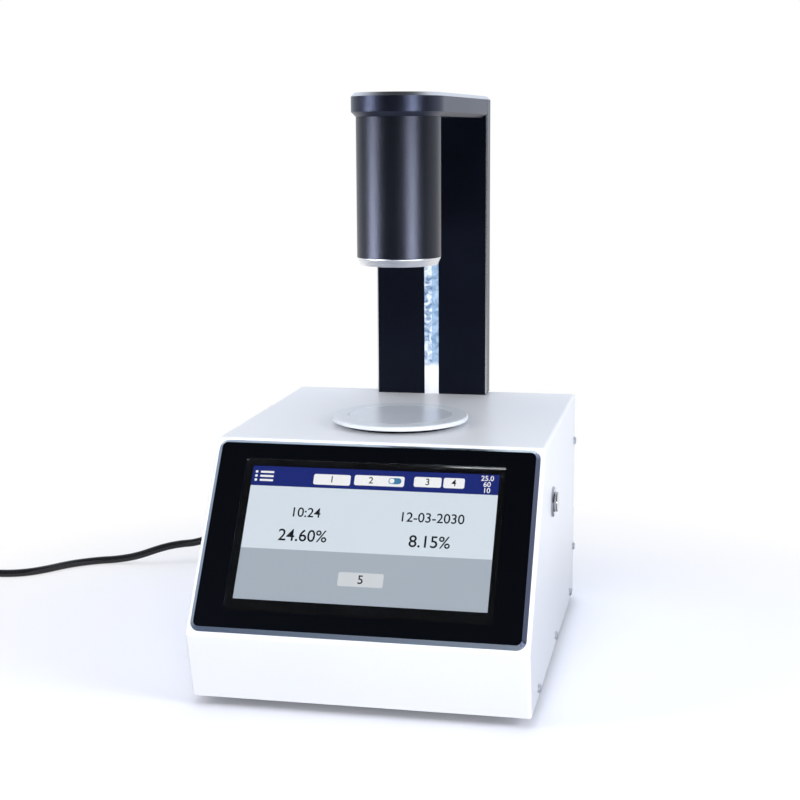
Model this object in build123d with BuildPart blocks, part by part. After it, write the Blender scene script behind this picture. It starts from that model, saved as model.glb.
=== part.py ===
from build123d import *
import math
import os

# Benchtop haze and transmittance meter: a sheet-metal housing with a touch screen on its slope,
# a sample stage on top, and a lamp barrel carried over the stage by a plate column and an arm.
# Millimetres. X runs to the right, Y to the back, Z up. The origin is on the table, under the
# centre of the instrument.

os.makedirs("parts", exist_ok=True)

# Housing
housing_w = 207.2
housing_h = 147.8
housing_depth = 258.2
nose_overhang = 10.4
nose_h = 42.0
slope_run = 72.6
sheet_t = 1.5
fold_r = 2.4
foot_h = 6.0
fit_gap = 0.2
rear_projection = 2.6

# Screws of the housing, side rows and rear flanges
screw_d = 3.0
screw_head_d = 5.6
screw_head_h = 1.8
screw_clearance = 0.1
side_screw_z = 7.0
side_screw_rows = (-93.0, 6.0, 105.0)
rear_screw_setback = 8.0
rear_screw_heights = (36.0, 115.0)
tray_flange_h = 16.0
rear_flange_depth = 12.0
side_screw_reach = 3.0
screw_short_by = 0.5
vent_side_margin = 22.0
vent_level = 0.55

# Feet
foot_r = 9.0
foot_inset_x = 22.0
foot_inset_front = 26.0
foot_inset_rear = 22.0
foot_taper = 0.85
foot_recess_gap = 0.6
foot_recess_share = 0.6
foot_screw_reach = 2.5

# Screen on the slope
active_w = 154.2
active_h = 85.9
glass_side = 4.3
glass_top = 3.8
glass_bottom = 7.8
glass_t = 1.8
glass_recess = 0.8
bezel_face_w = 197.0
bezel_face_h = 119.0
bezel_bottom_v = 4.9
bezel_rim = 2.6
bezel_corner_r = 6.0
active_bottom_v = 23.8
lcd_margin = 1.4
lcd_t = 5.7
lip_t = 4.0
lip_depth = 4.0
clamp_t = 2.0
board_t = 1.6
standoff_h = 5.0
standoff_r = 3.0
glass_corner_r = 0.8
glass_hole_corner_r = 1.0
display_board_margin_w = 46.0
display_board_margin_h = 34.0
board_screw_r = 1.25
board_screw_inset = 5.0
board_screw_head_h = 1.6
clamp_frame_w = 16.0
chip_w = 18.0
chip_h = 2.2
chip_spread = 21.0
connector_block_w = 40.0
connector_block_d = 6.0

# Optics: one vertical axis through barrel, stage and sphere
axis_setback = 129.0
seat_r = 38.1
seat_h = 2.5
seat_spigot_r = 23.8
port_r = 12.5
disc_r = 44.8
disc_t = 3.0
disc_bevel = 0.8
window_r = 34.2
window_t = 2.0
window_edge = 0.3
seat_spigot_below = 2.0
sphere_r = 45.0
sphere_wall = 5.0
sphere_neck_h = 4.0
sphere_flange_w = 9.0
sphere_flange_t = 4.0
pillar_r = 4.0
trap_r = 15.0
detector_tilt = 40.0
detector_r = 11.0
detector_len = 20.0
detector_flange_w = 2.0
detector_flange_t = 3.0
detector_spigot_len = 4.0
detector_pocket_depth = 12.0
boss_proud = 3.0
sphere_screw_r = 1.5
sphere_screw_reach = 8.0
trap_lift = 3.0
trap_floor_t = 2.0

# Column and arm
column_w = 81.0
column_t = 15.0
column_h = 213.4
plate_edge = 1.0
strip_w = 10.4
strip_t = 3.0
strip_vee = 1.3
strip_gap = 0.1
cable_d = 3.6
cable_channel_w = 5.0
cable_channel_depth = 5.0
arm_t = 15.0
nose_r = 30.2
arm_top_edge = 2.3
arm_bottom_edge = 3.0
bracket_t = 4.0
bracket_leg_t = 2.0
column_screw_y_offset = 6.0
bracket_leg = 34.0
column_screw_d = 5.0
column_screw_spread = 60.0
arm_screw_spread = 44.0
screw_reach = 14.0
bolt_head_ratio = 1.7
bolt_short_by = 1.0
bolt_head_sunk = 0.5
hex_depth = 2.5
cable_pocket_clear = 0.8
cable_bend_ratio = 1.2
cable_tail = 16.0
cable_end_gap = 1.0

# Lamp barrel
barrel_r = 27.2
barrel_wall = 3.0
barrel_len = 89.0
barrel_neck_r = 20.0
barrel_neck_h = 4.2
ring_h = 5.0
ring_taper = 2.3
ring_spigot_h = 9.0
ring_spigot_t = 2.2
lens_r = 19.0
lens_crown = 4.0
lens_land = 1.8
lens_edge_t = 2.5
clamp_ring_h = 2.5
sink_h = 22.0
sink_fin_count = 10
led_board_r = 11.0
cell_h = 14.0
barrel_roof_t = 4.0
barrel_edge = 0.2
lens_lip = 1.5
lens_lift = 3.0
sink_hub_margin = 1.0
sink_base_t = 5.0
fin_t = 2.0
fin_root = 0.6
emitter_w = 3.5
emitter_h = 0.8
cell_wall = 2.0
cell_floor_t = 2.0
condenser_inset = 1.0
condenser_land = 1.5
condenser_crown = 4.0

# Power button on the right wall
button_y = -20.5
button_z = 104.5
button_flange_r = 9.8
button_flange_t = 1.6
button_body_r = 8.0
button_body_len = 24.0
button_cap_r = 6.4
button_cap_proud = 2.0
button_travel = 1.8
button_gap = 0.15
button_nut_r = 11.0
button_nut_t = 3.0
spring_wire_d = 0.7
spring_r = 4.0
spring_room = 6.0
cap_skirt = 3.0
cap_edge_r = 0.6
cap_peg_r = 1.2
cap_recess_depth = 1.6
contact_inset = 1.0
contact_base_t = 4.0
contact_spread_r = 4.5
contact_t = 0.8
contact_w = 2.8
contact_len = 7.0

# Rear sockets
inlet_x = -52.0
inlet_z = 35.0
inlet_w = 28.0
inlet_h = 20.6
inlet_ear_w = 50.0
inlet_ear_h = 23.0
inlet_depth = 24.0
inlet_screw_spread = 40.0
socket_w = 24.6
socket_h = 16.8
socket_depth = 17.0
pin_w = 2.0
pin_h = 4.0
pin_spread = 14.0
pin_offset = 4.0
inlet_corner_r = 4.0
inlet_head_share = 0.5
socket_corner_r = 2.0
socket_floor_gap = 2.0
usb_x = 20.0
usb_z = 35.0
usb_w = 12.0
usb_h = 10.8
usb_mouth = 8.4
usb_depth = 16.0
usb_proud = 0.6
usb_floor = 4.0
usb_tongue_w = 5.6
usb_tongue_h = 3.2
usb_tongue_short = 6.0
usb_board_w = 34.0
usb_board_d = 30.0
usb_board_gap = 2.0
usb_post_inset = 8.0
vent_count = 9
vent_w = 3.0
vent_h = 34.0
vent_pitch = 7.0

# Power supply and main board
psu_w = 62.0
psu_d = 40.0
psu_h = 26.0
psu_setback = 14.0
psu_vent_count = 8
psu_vent_pitch = 6.0
psu_vent_w = 2.4
psu_vent_share = 0.6
psu_vent_depth = 2.0
main_board_w = 130.0
main_board_d = 44.0
main_board_lift = 6.0
main_board_setback = 8.0
processor_w = 20.0
processor_x = 12.0
memory_w = 12.0
memory_d = 8.0
memory_x = 28.0
chip_low_h = 1.8
capacitor_r = 4.0
capacitor_h = 9.0
capacitor_pitch = 14.0
capacitor_x = 48.0
header_w = 8.0
header_len = 28.0
header_x = 54.0

# Mains lead
cord_d = 6.0
plug_len = 38.0
plug_w = 34.0
plug_t = 26.0
tie_w = 12.0
tie_t = 0.8
lead_straight = 14.0
coil_outer_r = 39.0
connector_w = inlet_w - 1.0
connector_h = inlet_h - 0.6
connector_body_len = 20.0
connector_taper_len = 8.0
relief_len = 24.0
relief_r = 5.6
relief_tip_r = 4.4
relief_clear = 1.0
relief_rib_w = 1.8
relief_rib_pitch = 5.0
relief_rib_depth = 0.8
plug_relief_len = 22.0
plug_blade_w = 6.3
plug_blade_t = 1.6
plug_blade_len = 17.0
blade_spread = 6.9
blade_lift = 3.0
earth_drop = 7.0
blade_turn = 30

# Derived places
base_z = foot_h
top_z = base_z + housing_h
bend_y = -(nose_overhang + housing_depth + rear_projection) / 2
base_front_y = bend_y + nose_overhang
rear_y = base_front_y + housing_depth
bend_z = base_z + nose_h
slope_top_y = bend_y + slope_run
axis_y = rear_y - axis_setback
inner_w = housing_w - 2 * sheet_t
under_top_z = top_z - sheet_t
slope_rise = top_z - bend_z
slope_len = math.hypot(slope_run, slope_rise)
slope_plane = Plane(
    origin=(0, bend_y, bend_z),
    x_dir=(1, 0, 0),
    z_dir=(0, -slope_rise / slope_len, slope_run / slope_len),
)

# Housing cover: one folded sheet over the top, the slope, the nose and both sides
bezel_w = bezel_face_w + 2 * bezel_rim
bezel_h = bezel_face_h + 2 * bezel_rim
bezel_v = bezel_bottom_v - bezel_rim + bezel_h / 2
glass_w = active_w + 2 * glass_side
glass_h = active_h + glass_top + glass_bottom
glass_v = active_bottom_v - glass_bottom + glass_h / 2
lcd_w = glass_w + 2 * lcd_margin
lcd_h = glass_h + 2 * lcd_margin
lip_w = lcd_w + 2 * fit_gap + 2 * lip_t
lip_h = lcd_h + 2 * fit_gap + 2 * lip_t
window_w = lip_w + 2 * fit_gap
window_h = lip_h + 2 * fit_gap
screw_hole_r = screw_d / 2 + screw_clearance
column_y = rear_y - column_t / 2
column_screw_y = rear_y - column_t + column_screw_y_offset
column_screw_r = column_screw_d / 2
column_screw_points = [(s * column_screw_spread / 2, column_screw_y) for s in (-1, 1)]
side_screw_points = [(y, base_z + side_screw_z) for y in side_screw_rows]
side_screw_points += [(rear_y - rear_screw_setback, base_z + z) for z in rear_screw_heights]
wire_hole_r = cable_channel_w / 2
wire_y = rear_y - column_t + strip_t + cable_channel_depth / 2

with BuildPart() as cover_shell:
    with BuildSketch(Plane.YZ):
        with BuildLine():
            Polyline(
                (base_front_y, base_z),
                (bend_y, bend_z),
                (slope_top_y, top_z),
                (rear_y, top_z),
                (rear_y, base_z),
                close=True,
            )
        make_face()
    extrude(amount=housing_w / 2, both=True)
    folds = cover_shell.edges().filter_by(
        lambda e: e.center().Z > base_z + fold_r and e.center().Y < rear_y - fold_r
    )
    fillet(folds, radius=fold_r)
    open_faces = [cover_shell.faces().sort_by(Axis.Z)[0], cover_shell.faces().sort_by(Axis.Y)[-1]]
    offset(amount=-sheet_t, openings=open_faces)
    with BuildSketch(slope_plane):
        with Locations((0, glass_v)):
            RectangleRounded(window_w, window_h, sheet_t)
    extrude(amount=2 * sheet_t, both=True, mode=Mode.SUBTRACT)
    with BuildSketch(Plane.XY.offset(top_z)):
        with Locations((0, axis_y)):
            Circle(seat_spigot_r + fit_gap)
        with Locations((0, wire_y)):
            Circle(wire_hole_r)
        with Locations(*column_screw_points):
            Circle(column_screw_r + screw_clearance)
    extrude(amount=-2 * sheet_t, mode=Mode.SUBTRACT)
    with BuildSketch(Plane.YZ):
        with Locations(*side_screw_points):
            Circle(screw_hole_r)
    extrude(amount=housing_w, both=True, mode=Mode.SUBTRACT)
    with BuildSketch(Plane.YZ):
        with Locations((button_y, base_z + button_z)):
            Circle(button_body_r + fit_gap)
    extrude(amount=housing_w, mode=Mode.SUBTRACT)
cover_shell.part.label = "cover_shell"
export_step(cover_shell.part, "parts/cover_shell.step")

# Base tray: floor with two turned-up flanges inside the cover
tray_w = inner_w - 2 * fit_gap
tray_front_y = base_front_y + 2 * sheet_t
tray_rear_y = rear_y - sheet_t
tray_flange_front_y = tray_front_y + 2 * tray_flange_h
tray_flange_rear_y = tray_rear_y - rear_flange_depth - 2 * sheet_t
foot_points = {
    "front_left": (-housing_w / 2 + foot_inset_x, base_front_y + foot_inset_front),
    "front_right": (housing_w / 2 - foot_inset_x, base_front_y + foot_inset_front),
    "rear_left": (-housing_w / 2 + foot_inset_x, rear_y - foot_inset_rear),
    "rear_right": (housing_w / 2 - foot_inset_x, rear_y - foot_inset_rear),
}
with BuildPart() as base_tray:
    with BuildSketch(Plane.XY.offset(base_z)):
        with Locations((0, (tray_front_y + tray_rear_y) / 2)):
            Rectangle(tray_w, tray_rear_y - tray_front_y)
    extrude(amount=sheet_t)
    with BuildSketch(Plane.XY.offset(base_z)):
        with Locations(
            (-(tray_w - sheet_t) / 2, (tray_front_y + tray_flange_rear_y) / 2),
            ((tray_w - sheet_t) / 2, (tray_front_y + tray_flange_rear_y) / 2),
        ):
            Rectangle(sheet_t, tray_flange_rear_y - tray_front_y)
    extrude(amount=tray_flange_h)
    with BuildSketch(Plane.XY.offset(base_z)):
        with Locations(*foot_points.values()):
            Circle(screw_hole_r)
    extrude(amount=sheet_t, mode=Mode.SUBTRACT)
    with BuildSketch(Plane.YZ):
        with Locations(*side_screw_points[: len(side_screw_rows)]):
            Circle(screw_hole_r)
    extrude(amount=housing_w, both=True, mode=Mode.SUBTRACT)
base_tray.part.label = "base_tray"
export_step(base_tray.part, "parts/base_tray.step")

# Rear panel: folded plate with side flanges, sockets and cooling slots
panel_w = inner_w - 2 * fit_gap
panel_top_z = under_top_z - fit_gap
inlet_pos = (inlet_x, base_z + inlet_z)
usb_pos = (usb_x, base_z + usb_z)
rear_plane = Plane(origin=(0, rear_y, 0), x_dir=(1, 0, 0), z_dir=(0, -1, 0))
inlet_hole_points = [(inlet_x + s * inlet_screw_spread / 2, base_z + inlet_z) for s in (-1, 1)]
vent_x = housing_w / 2 - vent_side_margin - (vent_count - 1) * vent_pitch / 2
vent_z = base_z + housing_h * vent_level
with BuildPart() as rear_panel:
    with BuildSketch(rear_plane):
        with Locations((0, (base_z + panel_top_z) / 2)):
            Rectangle(panel_w, panel_top_z - base_z)
    extrude(amount=sheet_t)
    with BuildSketch(rear_plane.offset(sheet_t)):
        with Locations(
            (-(panel_w - sheet_t) / 2, (base_z + 2 * sheet_t + panel_top_z) / 2),
            ((panel_w - sheet_t) / 2, (base_z + 2 * sheet_t + panel_top_z) / 2),
        ):
            Rectangle(sheet_t, panel_top_z - base_z - 2 * sheet_t)
    extrude(amount=rear_flange_depth)
    top_corners = rear_panel.edges().filter_by(Axis.Y).group_by(Axis.Z)[-1]
    outer_corners = [top_corners.sort_by(Axis.X)[0], top_corners.sort_by(Axis.X)[-1]]
    fillet(outer_corners, radius=min(fold_r - sheet_t, sheet_t * 0.8))
    with BuildSketch(rear_plane):
        with Locations(inlet_pos):
            Rectangle(inlet_w + 2 * fit_gap, inlet_h + 2 * fit_gap)
        with Locations(usb_pos):
            Rectangle(usb_w + 2 * fit_gap, usb_h + 2 * fit_gap)
        with Locations(*inlet_hole_points):
            Circle(screw_hole_r)
        with Locations((vent_x, vent_z)):
            with GridLocations(vent_pitch, 1, vent_count, 1):
                SlotOverall(vent_h, vent_w, rotation=90)
    extrude(amount=sheet_t, mode=Mode.SUBTRACT)
    with BuildSketch(Plane.YZ):
        with Locations(*side_screw_points[len(side_screw_rows) :]):
            Circle(screw_hole_r)
    extrude(amount=housing_w, both=True, mode=Mode.SUBTRACT)
rear_panel.part.label = "rear_panel"
export_step(rear_panel.part, "parts/rear_panel.step")

# Side screws: pan heads that seat on the cover
with BuildPart() as side_screws:
    for side in (-1, 1):
        outside = Plane(
            origin=(side * housing_w / 2, 0, 0), x_dir=(0, side, 0), z_dir=(side, 0, 0)
        )
        head_points = [(side * y, z) for y, z in side_screw_points]
        with BuildSketch(outside):
            with Locations(*head_points):
                Circle(screw_head_d / 2)
        extrude(amount=screw_head_h)
        with BuildSketch(outside):
            with Locations(*head_points):
                Circle(screw_d / 2)
        extrude(amount=-(2 * sheet_t + side_screw_reach))
    rims = side_screws.edges().filter_by(GeomType.CIRCLE).filter_by(
        lambda e: abs(e.center().X) > housing_w / 2 + screw_head_h / 2
    )
    chamfer(rims, length=screw_head_h * 0.4)
side_screws.part.label = "side_screws"
export_step(side_screws.part, "parts/side_screws.step")

# Rubber feet, each held by a screw in a deep recess
foot_recess_r = screw_head_d / 2 + foot_recess_gap
foot_recess_h = foot_h * foot_recess_share
for place, (foot_x, foot_y) in foot_points.items():
    with BuildPart() as foot:
        with BuildSketch(Plane.XY):
            with Locations((foot_x, foot_y)):
                Circle(foot_r * foot_taper)
        with BuildSketch(Plane.XY.offset(foot_h)):
            with Locations((foot_x, foot_y)):
                Circle(foot_r)
        loft()
        with BuildSketch(Plane.XY):
            with Locations((foot_x, foot_y)):
                Circle(foot_recess_r)
        extrude(amount=foot_recess_h, mode=Mode.SUBTRACT)
        with BuildSketch(Plane.XY):
            with Locations((foot_x, foot_y)):
                Circle(screw_hole_r)
        extrude(amount=foot_h, mode=Mode.SUBTRACT)
    foot.part.label = f"foot_{place}"
    export_step(foot.part, f"parts/foot_{place}.step")

with BuildPart() as foot_screws:
    with BuildSketch(Plane.XY.offset(foot_recess_h)):
        with Locations(*foot_points.values()):
            Circle(screw_head_d / 2)
    extrude(amount=-screw_head_h)
    with BuildSketch(Plane.XY.offset(foot_recess_h)):
        with Locations(*foot_points.values()):
            Circle(screw_d / 2)
    extrude(amount=foot_h - foot_recess_h + sheet_t + foot_screw_reach)
foot_screws.part.label = "foot_screws"
export_step(foot_screws.part, "parts/foot_screws.step")

# Bezel: machined plate with a bright bevelled rim, a window for the glass and a locating lip
with BuildPart() as bezel_plate:
    with BuildSketch(slope_plane):
        with Locations((0, bezel_v)):
            RectangleRounded(bezel_w, bezel_h, bezel_corner_r)
    extrude(amount=bezel_rim)
    face_edges = bezel_plate.edges().filter_by(
        lambda e: slope_plane.to_local_coords(e.center()).Z > bezel_rim * 0.9
    )
    chamfer(face_edges, length=bezel_rim * 0.96)
    with BuildSketch(slope_plane):
        with Locations((0, glass_v)):
            RectangleRounded(lip_w, lip_h, sheet_t)
    extrude(amount=-lip_depth)
    with BuildSketch(slope_plane):
        with Locations((0, glass_v)):
            Rectangle(lcd_w + 2 * fit_gap, lcd_h + 2 * fit_gap)
    extrude(amount=-lip_depth, mode=Mode.SUBTRACT)
    with BuildSketch(slope_plane):
        with Locations((0, glass_v)):
            RectangleRounded(glass_w + 2 * fit_gap, glass_h + 2 * fit_gap, glass_hole_corner_r)
    extrude(amount=bezel_rim, mode=Mode.SUBTRACT)
bezel_plate.part.label = "bezel_plate"
export_step(bezel_plate.part, "parts/bezel_plate.step")

# Screen: cover glass, display module, clamp plate and driver board behind it
glass_back_n = bezel_rim - glass_recess - glass_t
with BuildPart() as screen_glass:
    with BuildSketch(slope_plane.offset(glass_back_n)):
        with Locations((0, glass_v)):
            RectangleRounded(glass_w, glass_h, glass_corner_r)
    extrude(amount=glass_t)
screen_glass.part.label = "screen_glass"
export_step(screen_glass.part, "parts/screen_glass.step")

with BuildPart() as lcd_panel:
    with BuildSketch(slope_plane):
        with Locations((0, glass_v)):
            Rectangle(lcd_w, lcd_h)
    extrude(amount=-lcd_t)
lcd_panel.part.label = "lcd_panel"
export_step(lcd_panel.part, "parts/lcd_panel.step")

clamp_plane = slope_plane.offset(-lcd_t)
board_plane = clamp_plane.offset(-clamp_t - standoff_h)
display_board_w = lcd_w - display_board_margin_w
display_board_h = lcd_h - display_board_margin_h
board_screw_w = display_board_w - 2 * board_screw_inset
board_screw_h = display_board_h - 2 * board_screw_inset
with BuildPart() as lcd_clamp_plate:
    with BuildSketch(clamp_plane):
        with Locations((0, glass_v)):
            RectangleRounded(lip_w, lip_h, sheet_t)
            Rectangle(board_screw_w - clamp_frame_w, board_screw_h - clamp_frame_w, mode=Mode.SUBTRACT)
    extrude(amount=-clamp_t)
    with BuildSketch(clamp_plane):
        with Locations((0, glass_v)):
            RectangleRounded(lip_w, lip_h, sheet_t)
            Rectangle(lcd_w + 2 * fit_gap, lcd_h + 2 * fit_gap, mode=Mode.SUBTRACT)
    extrude(amount=lcd_t - lip_depth)
    with BuildSketch(clamp_plane.offset(-clamp_t)):
        with Locations((0, glass_v)):
            with GridLocations(board_screw_w, board_screw_h, 2, 2):
                Circle(standoff_r)
    extrude(amount=-standoff_h)
    with BuildSketch(board_plane):
        with Locations((0, glass_v)):
            with GridLocations(board_screw_w, board_screw_h, 2, 2):
                Circle(board_screw_r + screw_clearance)
    extrude(amount=standoff_h, mode=Mode.SUBTRACT)
lcd_clamp_plate.part.label = "lcd_clamp_plate"
export_step(lcd_clamp_plate.part, "parts/lcd_clamp_plate.step")

with BuildPart() as display_board:
    with BuildSketch(board_plane):
        with Locations((0, glass_v)):
            Rectangle(display_board_w, display_board_h)
            with GridLocations(board_screw_w, board_screw_h, 2, 2):
                Circle(board_screw_r + screw_clearance, mode=Mode.SUBTRACT)
    extrude(amount=-board_t)
    with BuildSketch(board_plane.offset(-board_t)):
        with Locations((-chip_spread, glass_v), (chip_spread, glass_v + chip_w / 2)):
            Rectangle(chip_w, chip_w)
        with Locations((0, glass_v - display_board_h / 2 + connector_block_d)):
            Rectangle(connector_block_w, connector_block_d)
    extrude(amount=-chip_h)
display_board.part.label = "display_board"
export_step(display_board.part, "parts/display_board.step")

with BuildPart() as display_screws:
    with BuildSketch(board_plane.offset(-board_t)):
        with Locations((0, glass_v)):
            with GridLocations(board_screw_w, board_screw_h, 2, 2):
                Circle(2 * board_screw_r)
    extrude(amount=-board_screw_head_h)
    with BuildSketch(board_plane.offset(-board_t)):
        with Locations((0, glass_v)):
            with GridLocations(board_screw_w, board_screw_h, 2, 2):
                Circle(board_screw_r)
    extrude(amount=board_t + standoff_h - screw_short_by)
display_screws.part.label = "display_screws"
export_step(display_screws.part, "parts/display_screws.step")

# Sample stage: black seat in the cover, bevelled disc on it and a round window
seat_top_z = top_z + seat_h
disc_top_z = seat_top_z + disc_t
spigot_bottom_z = under_top_z - seat_spigot_below
optical_axis = Axis((0, axis_y, 0), (0, 0, 1))
axis_section = Plane(origin=(0, axis_y, 0), x_dir=(1, 0, 0), z_dir=(0, -1, 0))
with BuildPart() as stage_seat:
    with BuildSketch(axis_section):
        with BuildLine():
            Polyline(
                (port_r, spigot_bottom_z),
                (seat_spigot_r, spigot_bottom_z),
                (seat_spigot_r, top_z),
                (seat_r, top_z),
                (seat_r, seat_top_z),
                (port_r, seat_top_z),
                close=True,
            )
        make_face()
    revolve(axis=optical_axis)
stage_seat.part.label = "stage_seat"
export_step(stage_seat.part, "parts/stage_seat.step")

with BuildPart() as stage_disc:
    with BuildSketch(axis_section):
        with BuildLine():
            Polyline(
                (port_r, seat_top_z),
                (disc_r - disc_bevel / 2, seat_top_z),
                (disc_r, seat_top_z + disc_bevel / 2),
                (disc_r, disc_top_z - disc_bevel),
                (disc_r - disc_bevel, disc_top_z - disc_bevel / 4),
                (window_r, disc_top_z),
                (window_r, disc_top_z - window_t),
                (port_r, disc_top_z - window_t),
                close=True,
            )
        make_face()
    revolve(axis=optical_axis)
stage_disc.part.label = "stage_disc"
export_step(stage_disc.part, "parts/stage_disc.step")

with BuildPart() as port_window:
    with BuildSketch(Plane.XY.offset(disc_top_z - window_t)):
        with Locations((0, axis_y)):
            Circle(window_r - screw_clearance)
    extrude(amount=window_t)
    chamfer(port_window.edges().group_by(Axis.Z)[-1], length=window_edge)
port_window.part.label = "port_window"
export_step(port_window.part, "parts/port_window.step")

# Integrating sphere in two flanged halves, on four pillars
sphere_out_r = sphere_r + sphere_wall
sphere_z = under_top_z - sphere_neck_h - sphere_out_r
flange_r = sphere_out_r + sphere_flange_w
flange_hole_r = flange_r - sphere_flange_w / 2
neck_r = seat_spigot_r + sphere_wall
sphere_plane = Plane.XY.offset(sphere_z)
with BuildPart() as sphere_upper:
    with BuildSketch(axis_section):
        with BuildLine():
            Line((0, sphere_z), (flange_r, sphere_z))
            Line((flange_r, sphere_z), (flange_r, sphere_z + sphere_flange_t))
            Line((flange_r, sphere_z + sphere_flange_t), (0, sphere_z + sphere_flange_t))
            Line((0, sphere_z + sphere_flange_t), (0, sphere_z))
        make_face()
    revolve(axis=optical_axis)
    with BuildSketch(axis_section):
        with Locations((0, sphere_z)):
            Circle(sphere_out_r)
        with Locations((sphere_out_r, sphere_z + sphere_out_r)):
            Rectangle(2 * sphere_out_r, 2 * sphere_out_r, mode=Mode.INTERSECT)
    revolve(axis=optical_axis)
    with BuildSketch(sphere_plane):
        with Locations((0, axis_y)):
            Circle(neck_r)
    extrude(amount=under_top_z - sphere_z)
    with BuildSketch(axis_section):
        with Locations((0, sphere_z)):
            Circle(sphere_r)
        with Locations((sphere_r, sphere_z)):
            Rectangle(2 * sphere_r, 4 * sphere_r, mode=Mode.INTERSECT)
    revolve(axis=optical_axis, mode=Mode.SUBTRACT)
    with BuildSketch(sphere_plane):
        with Locations((0, axis_y)):
            Circle(port_r)
    extrude(amount=under_top_z - sphere_z, mode=Mode.SUBTRACT)
    with BuildSketch(Plane.XY.offset(under_top_z)):
        with Locations((0, axis_y)):
            Circle(seat_spigot_r + fit_gap)
    extrude(amount=-(under_top_z - spigot_bottom_z), mode=Mode.SUBTRACT)
    with BuildSketch(sphere_plane):
        with Locations((0, axis_y)):
            with PolarLocations(flange_hole_r, 4, start_angle=45):
                Circle(sphere_screw_r + screw_clearance)
    extrude(amount=sphere_flange_t, mode=Mode.SUBTRACT)
sphere_upper.part.label = "sphere_upper"
export_step(sphere_upper.part, "parts/sphere_upper.step")

# Lower half: a tilted boss on the left takes the detector, the bottom port the light trap
tilt = math.radians(detector_tilt)
detector_plane = Plane(
    origin=(0, axis_y, sphere_z),
    x_dir=(0, 1, 0),
    z_dir=(-math.cos(tilt), 0, -math.sin(tilt)),
)
detector_bore_r = detector_r * 0.6
boss_len = sphere_out_r + boss_proud
trap_top_z = sphere_z - sphere_out_r
with BuildPart() as sphere_lower:
    with BuildSketch(axis_section):
        with Locations((flange_r / 2, sphere_z - sphere_flange_t / 2)):
            Rectangle(flange_r, sphere_flange_t)
    revolve(axis=optical_axis)
    with BuildSketch(axis_section):
        with Locations((0, sphere_z)):
            Circle(sphere_out_r)
        with Locations((sphere_out_r, sphere_z - sphere_out_r)):
            Rectangle(2 * sphere_out_r, 2 * sphere_out_r, mode=Mode.INTERSECT)
    revolve(axis=optical_axis)
    with BuildSketch(detector_plane):
        Circle(detector_r + detector_flange_w)
    extrude(amount=boss_len)
    with BuildSketch(Plane.XY.offset(trap_top_z)):
        with Locations((0, axis_y)):
            Circle(trap_r)
    extrude(amount=sphere_wall)
    with BuildSketch(axis_section):
        with Locations((0, sphere_z)):
            Circle(sphere_r)
        with Locations((sphere_r, sphere_z)):
            Rectangle(2 * sphere_r, 4 * sphere_r, mode=Mode.INTERSECT)
    revolve(axis=optical_axis, mode=Mode.SUBTRACT)
    with BuildSketch(sphere_plane):
        with Locations((0, axis_y)):
            Circle(flange_r + sphere_wall)
    extrude(amount=sphere_out_r, mode=Mode.SUBTRACT)
    with BuildSketch(detector_plane):
        Circle(detector_bore_r)
    extrude(amount=2 * sphere_out_r, mode=Mode.SUBTRACT)
    with BuildSketch(sphere_plane):
        with Locations((0, axis_y)):
            Circle(port_r)
    extrude(amount=-2 * sphere_out_r, mode=Mode.SUBTRACT)
    with BuildSketch(sphere_plane):
        with Locations((0, axis_y)):
            with PolarLocations(flange_hole_r, 4, start_angle=45):
                Circle(sphere_screw_r + screw_clearance)
    extrude(amount=-sphere_flange_t, mode=Mode.SUBTRACT)
sphere_lower.part.label = "sphere_lower"
export_step(sphere_lower.part, "parts/sphere_lower.step")

pillar_bottom_z = base_z + sheet_t
pillar_top_z = sphere_z - sphere_flange_t
with BuildPart() as sphere_pillars:
    with BuildSketch(Plane.XY.offset(pillar_bottom_z)):
        with Locations((0, axis_y)):
            with PolarLocations(flange_hole_r, 4, start_angle=45):
                RegularPolygon(pillar_r, 6)
    extrude(amount=pillar_top_z - pillar_bottom_z)
    with BuildSketch(Plane.XY.offset(pillar_top_z)):
        with Locations((0, axis_y)):
            with PolarLocations(flange_hole_r, 4, start_angle=45):
                Circle(sphere_screw_r + screw_clearance)
    extrude(amount=-detector_pocket_depth, mode=Mode.SUBTRACT)
sphere_pillars.part.label = "sphere_pillars"
export_step(sphere_pillars.part, "parts/sphere_pillars.step")

with BuildPart() as sphere_screws:
    with BuildSketch(Plane.XY.offset(sphere_z + sphere_flange_t)):
        with Locations((0, axis_y)):
            with PolarLocations(flange_hole_r, 4, start_angle=45):
                Circle(1.8 * sphere_screw_r)
    extrude(amount=2 * sphere_screw_r)
    with BuildSketch(Plane.XY.offset(sphere_z + sphere_flange_t)):
        with Locations((0, axis_y)):
            with PolarLocations(flange_hole_r, 4, start_angle=45):
                Circle(sphere_screw_r)
    extrude(amount=-(2 * sphere_flange_t + sphere_screw_reach))
sphere_screws.part.label = "sphere_screws"
export_step(sphere_screws.part, "parts/sphere_screws.step")

trap_bottom_z = base_z + sheet_t + trap_lift
with BuildPart() as light_trap:
    with BuildSketch(axis_section):
        with BuildLine():
            Polyline(
                (0, trap_bottom_z),
                (trap_r, trap_bottom_z),
                (trap_r, trap_top_z),
                (port_r, trap_top_z),
                (port_r, trap_bottom_z + trap_floor_t),
                (0, trap_bottom_z + trap_floor_t + port_r),
                close=True,
            )
        make_face()
    revolve(axis=optical_axis)
light_trap.part.label = "light_trap"
export_step(light_trap.part, "parts/light_trap.step")

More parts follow.
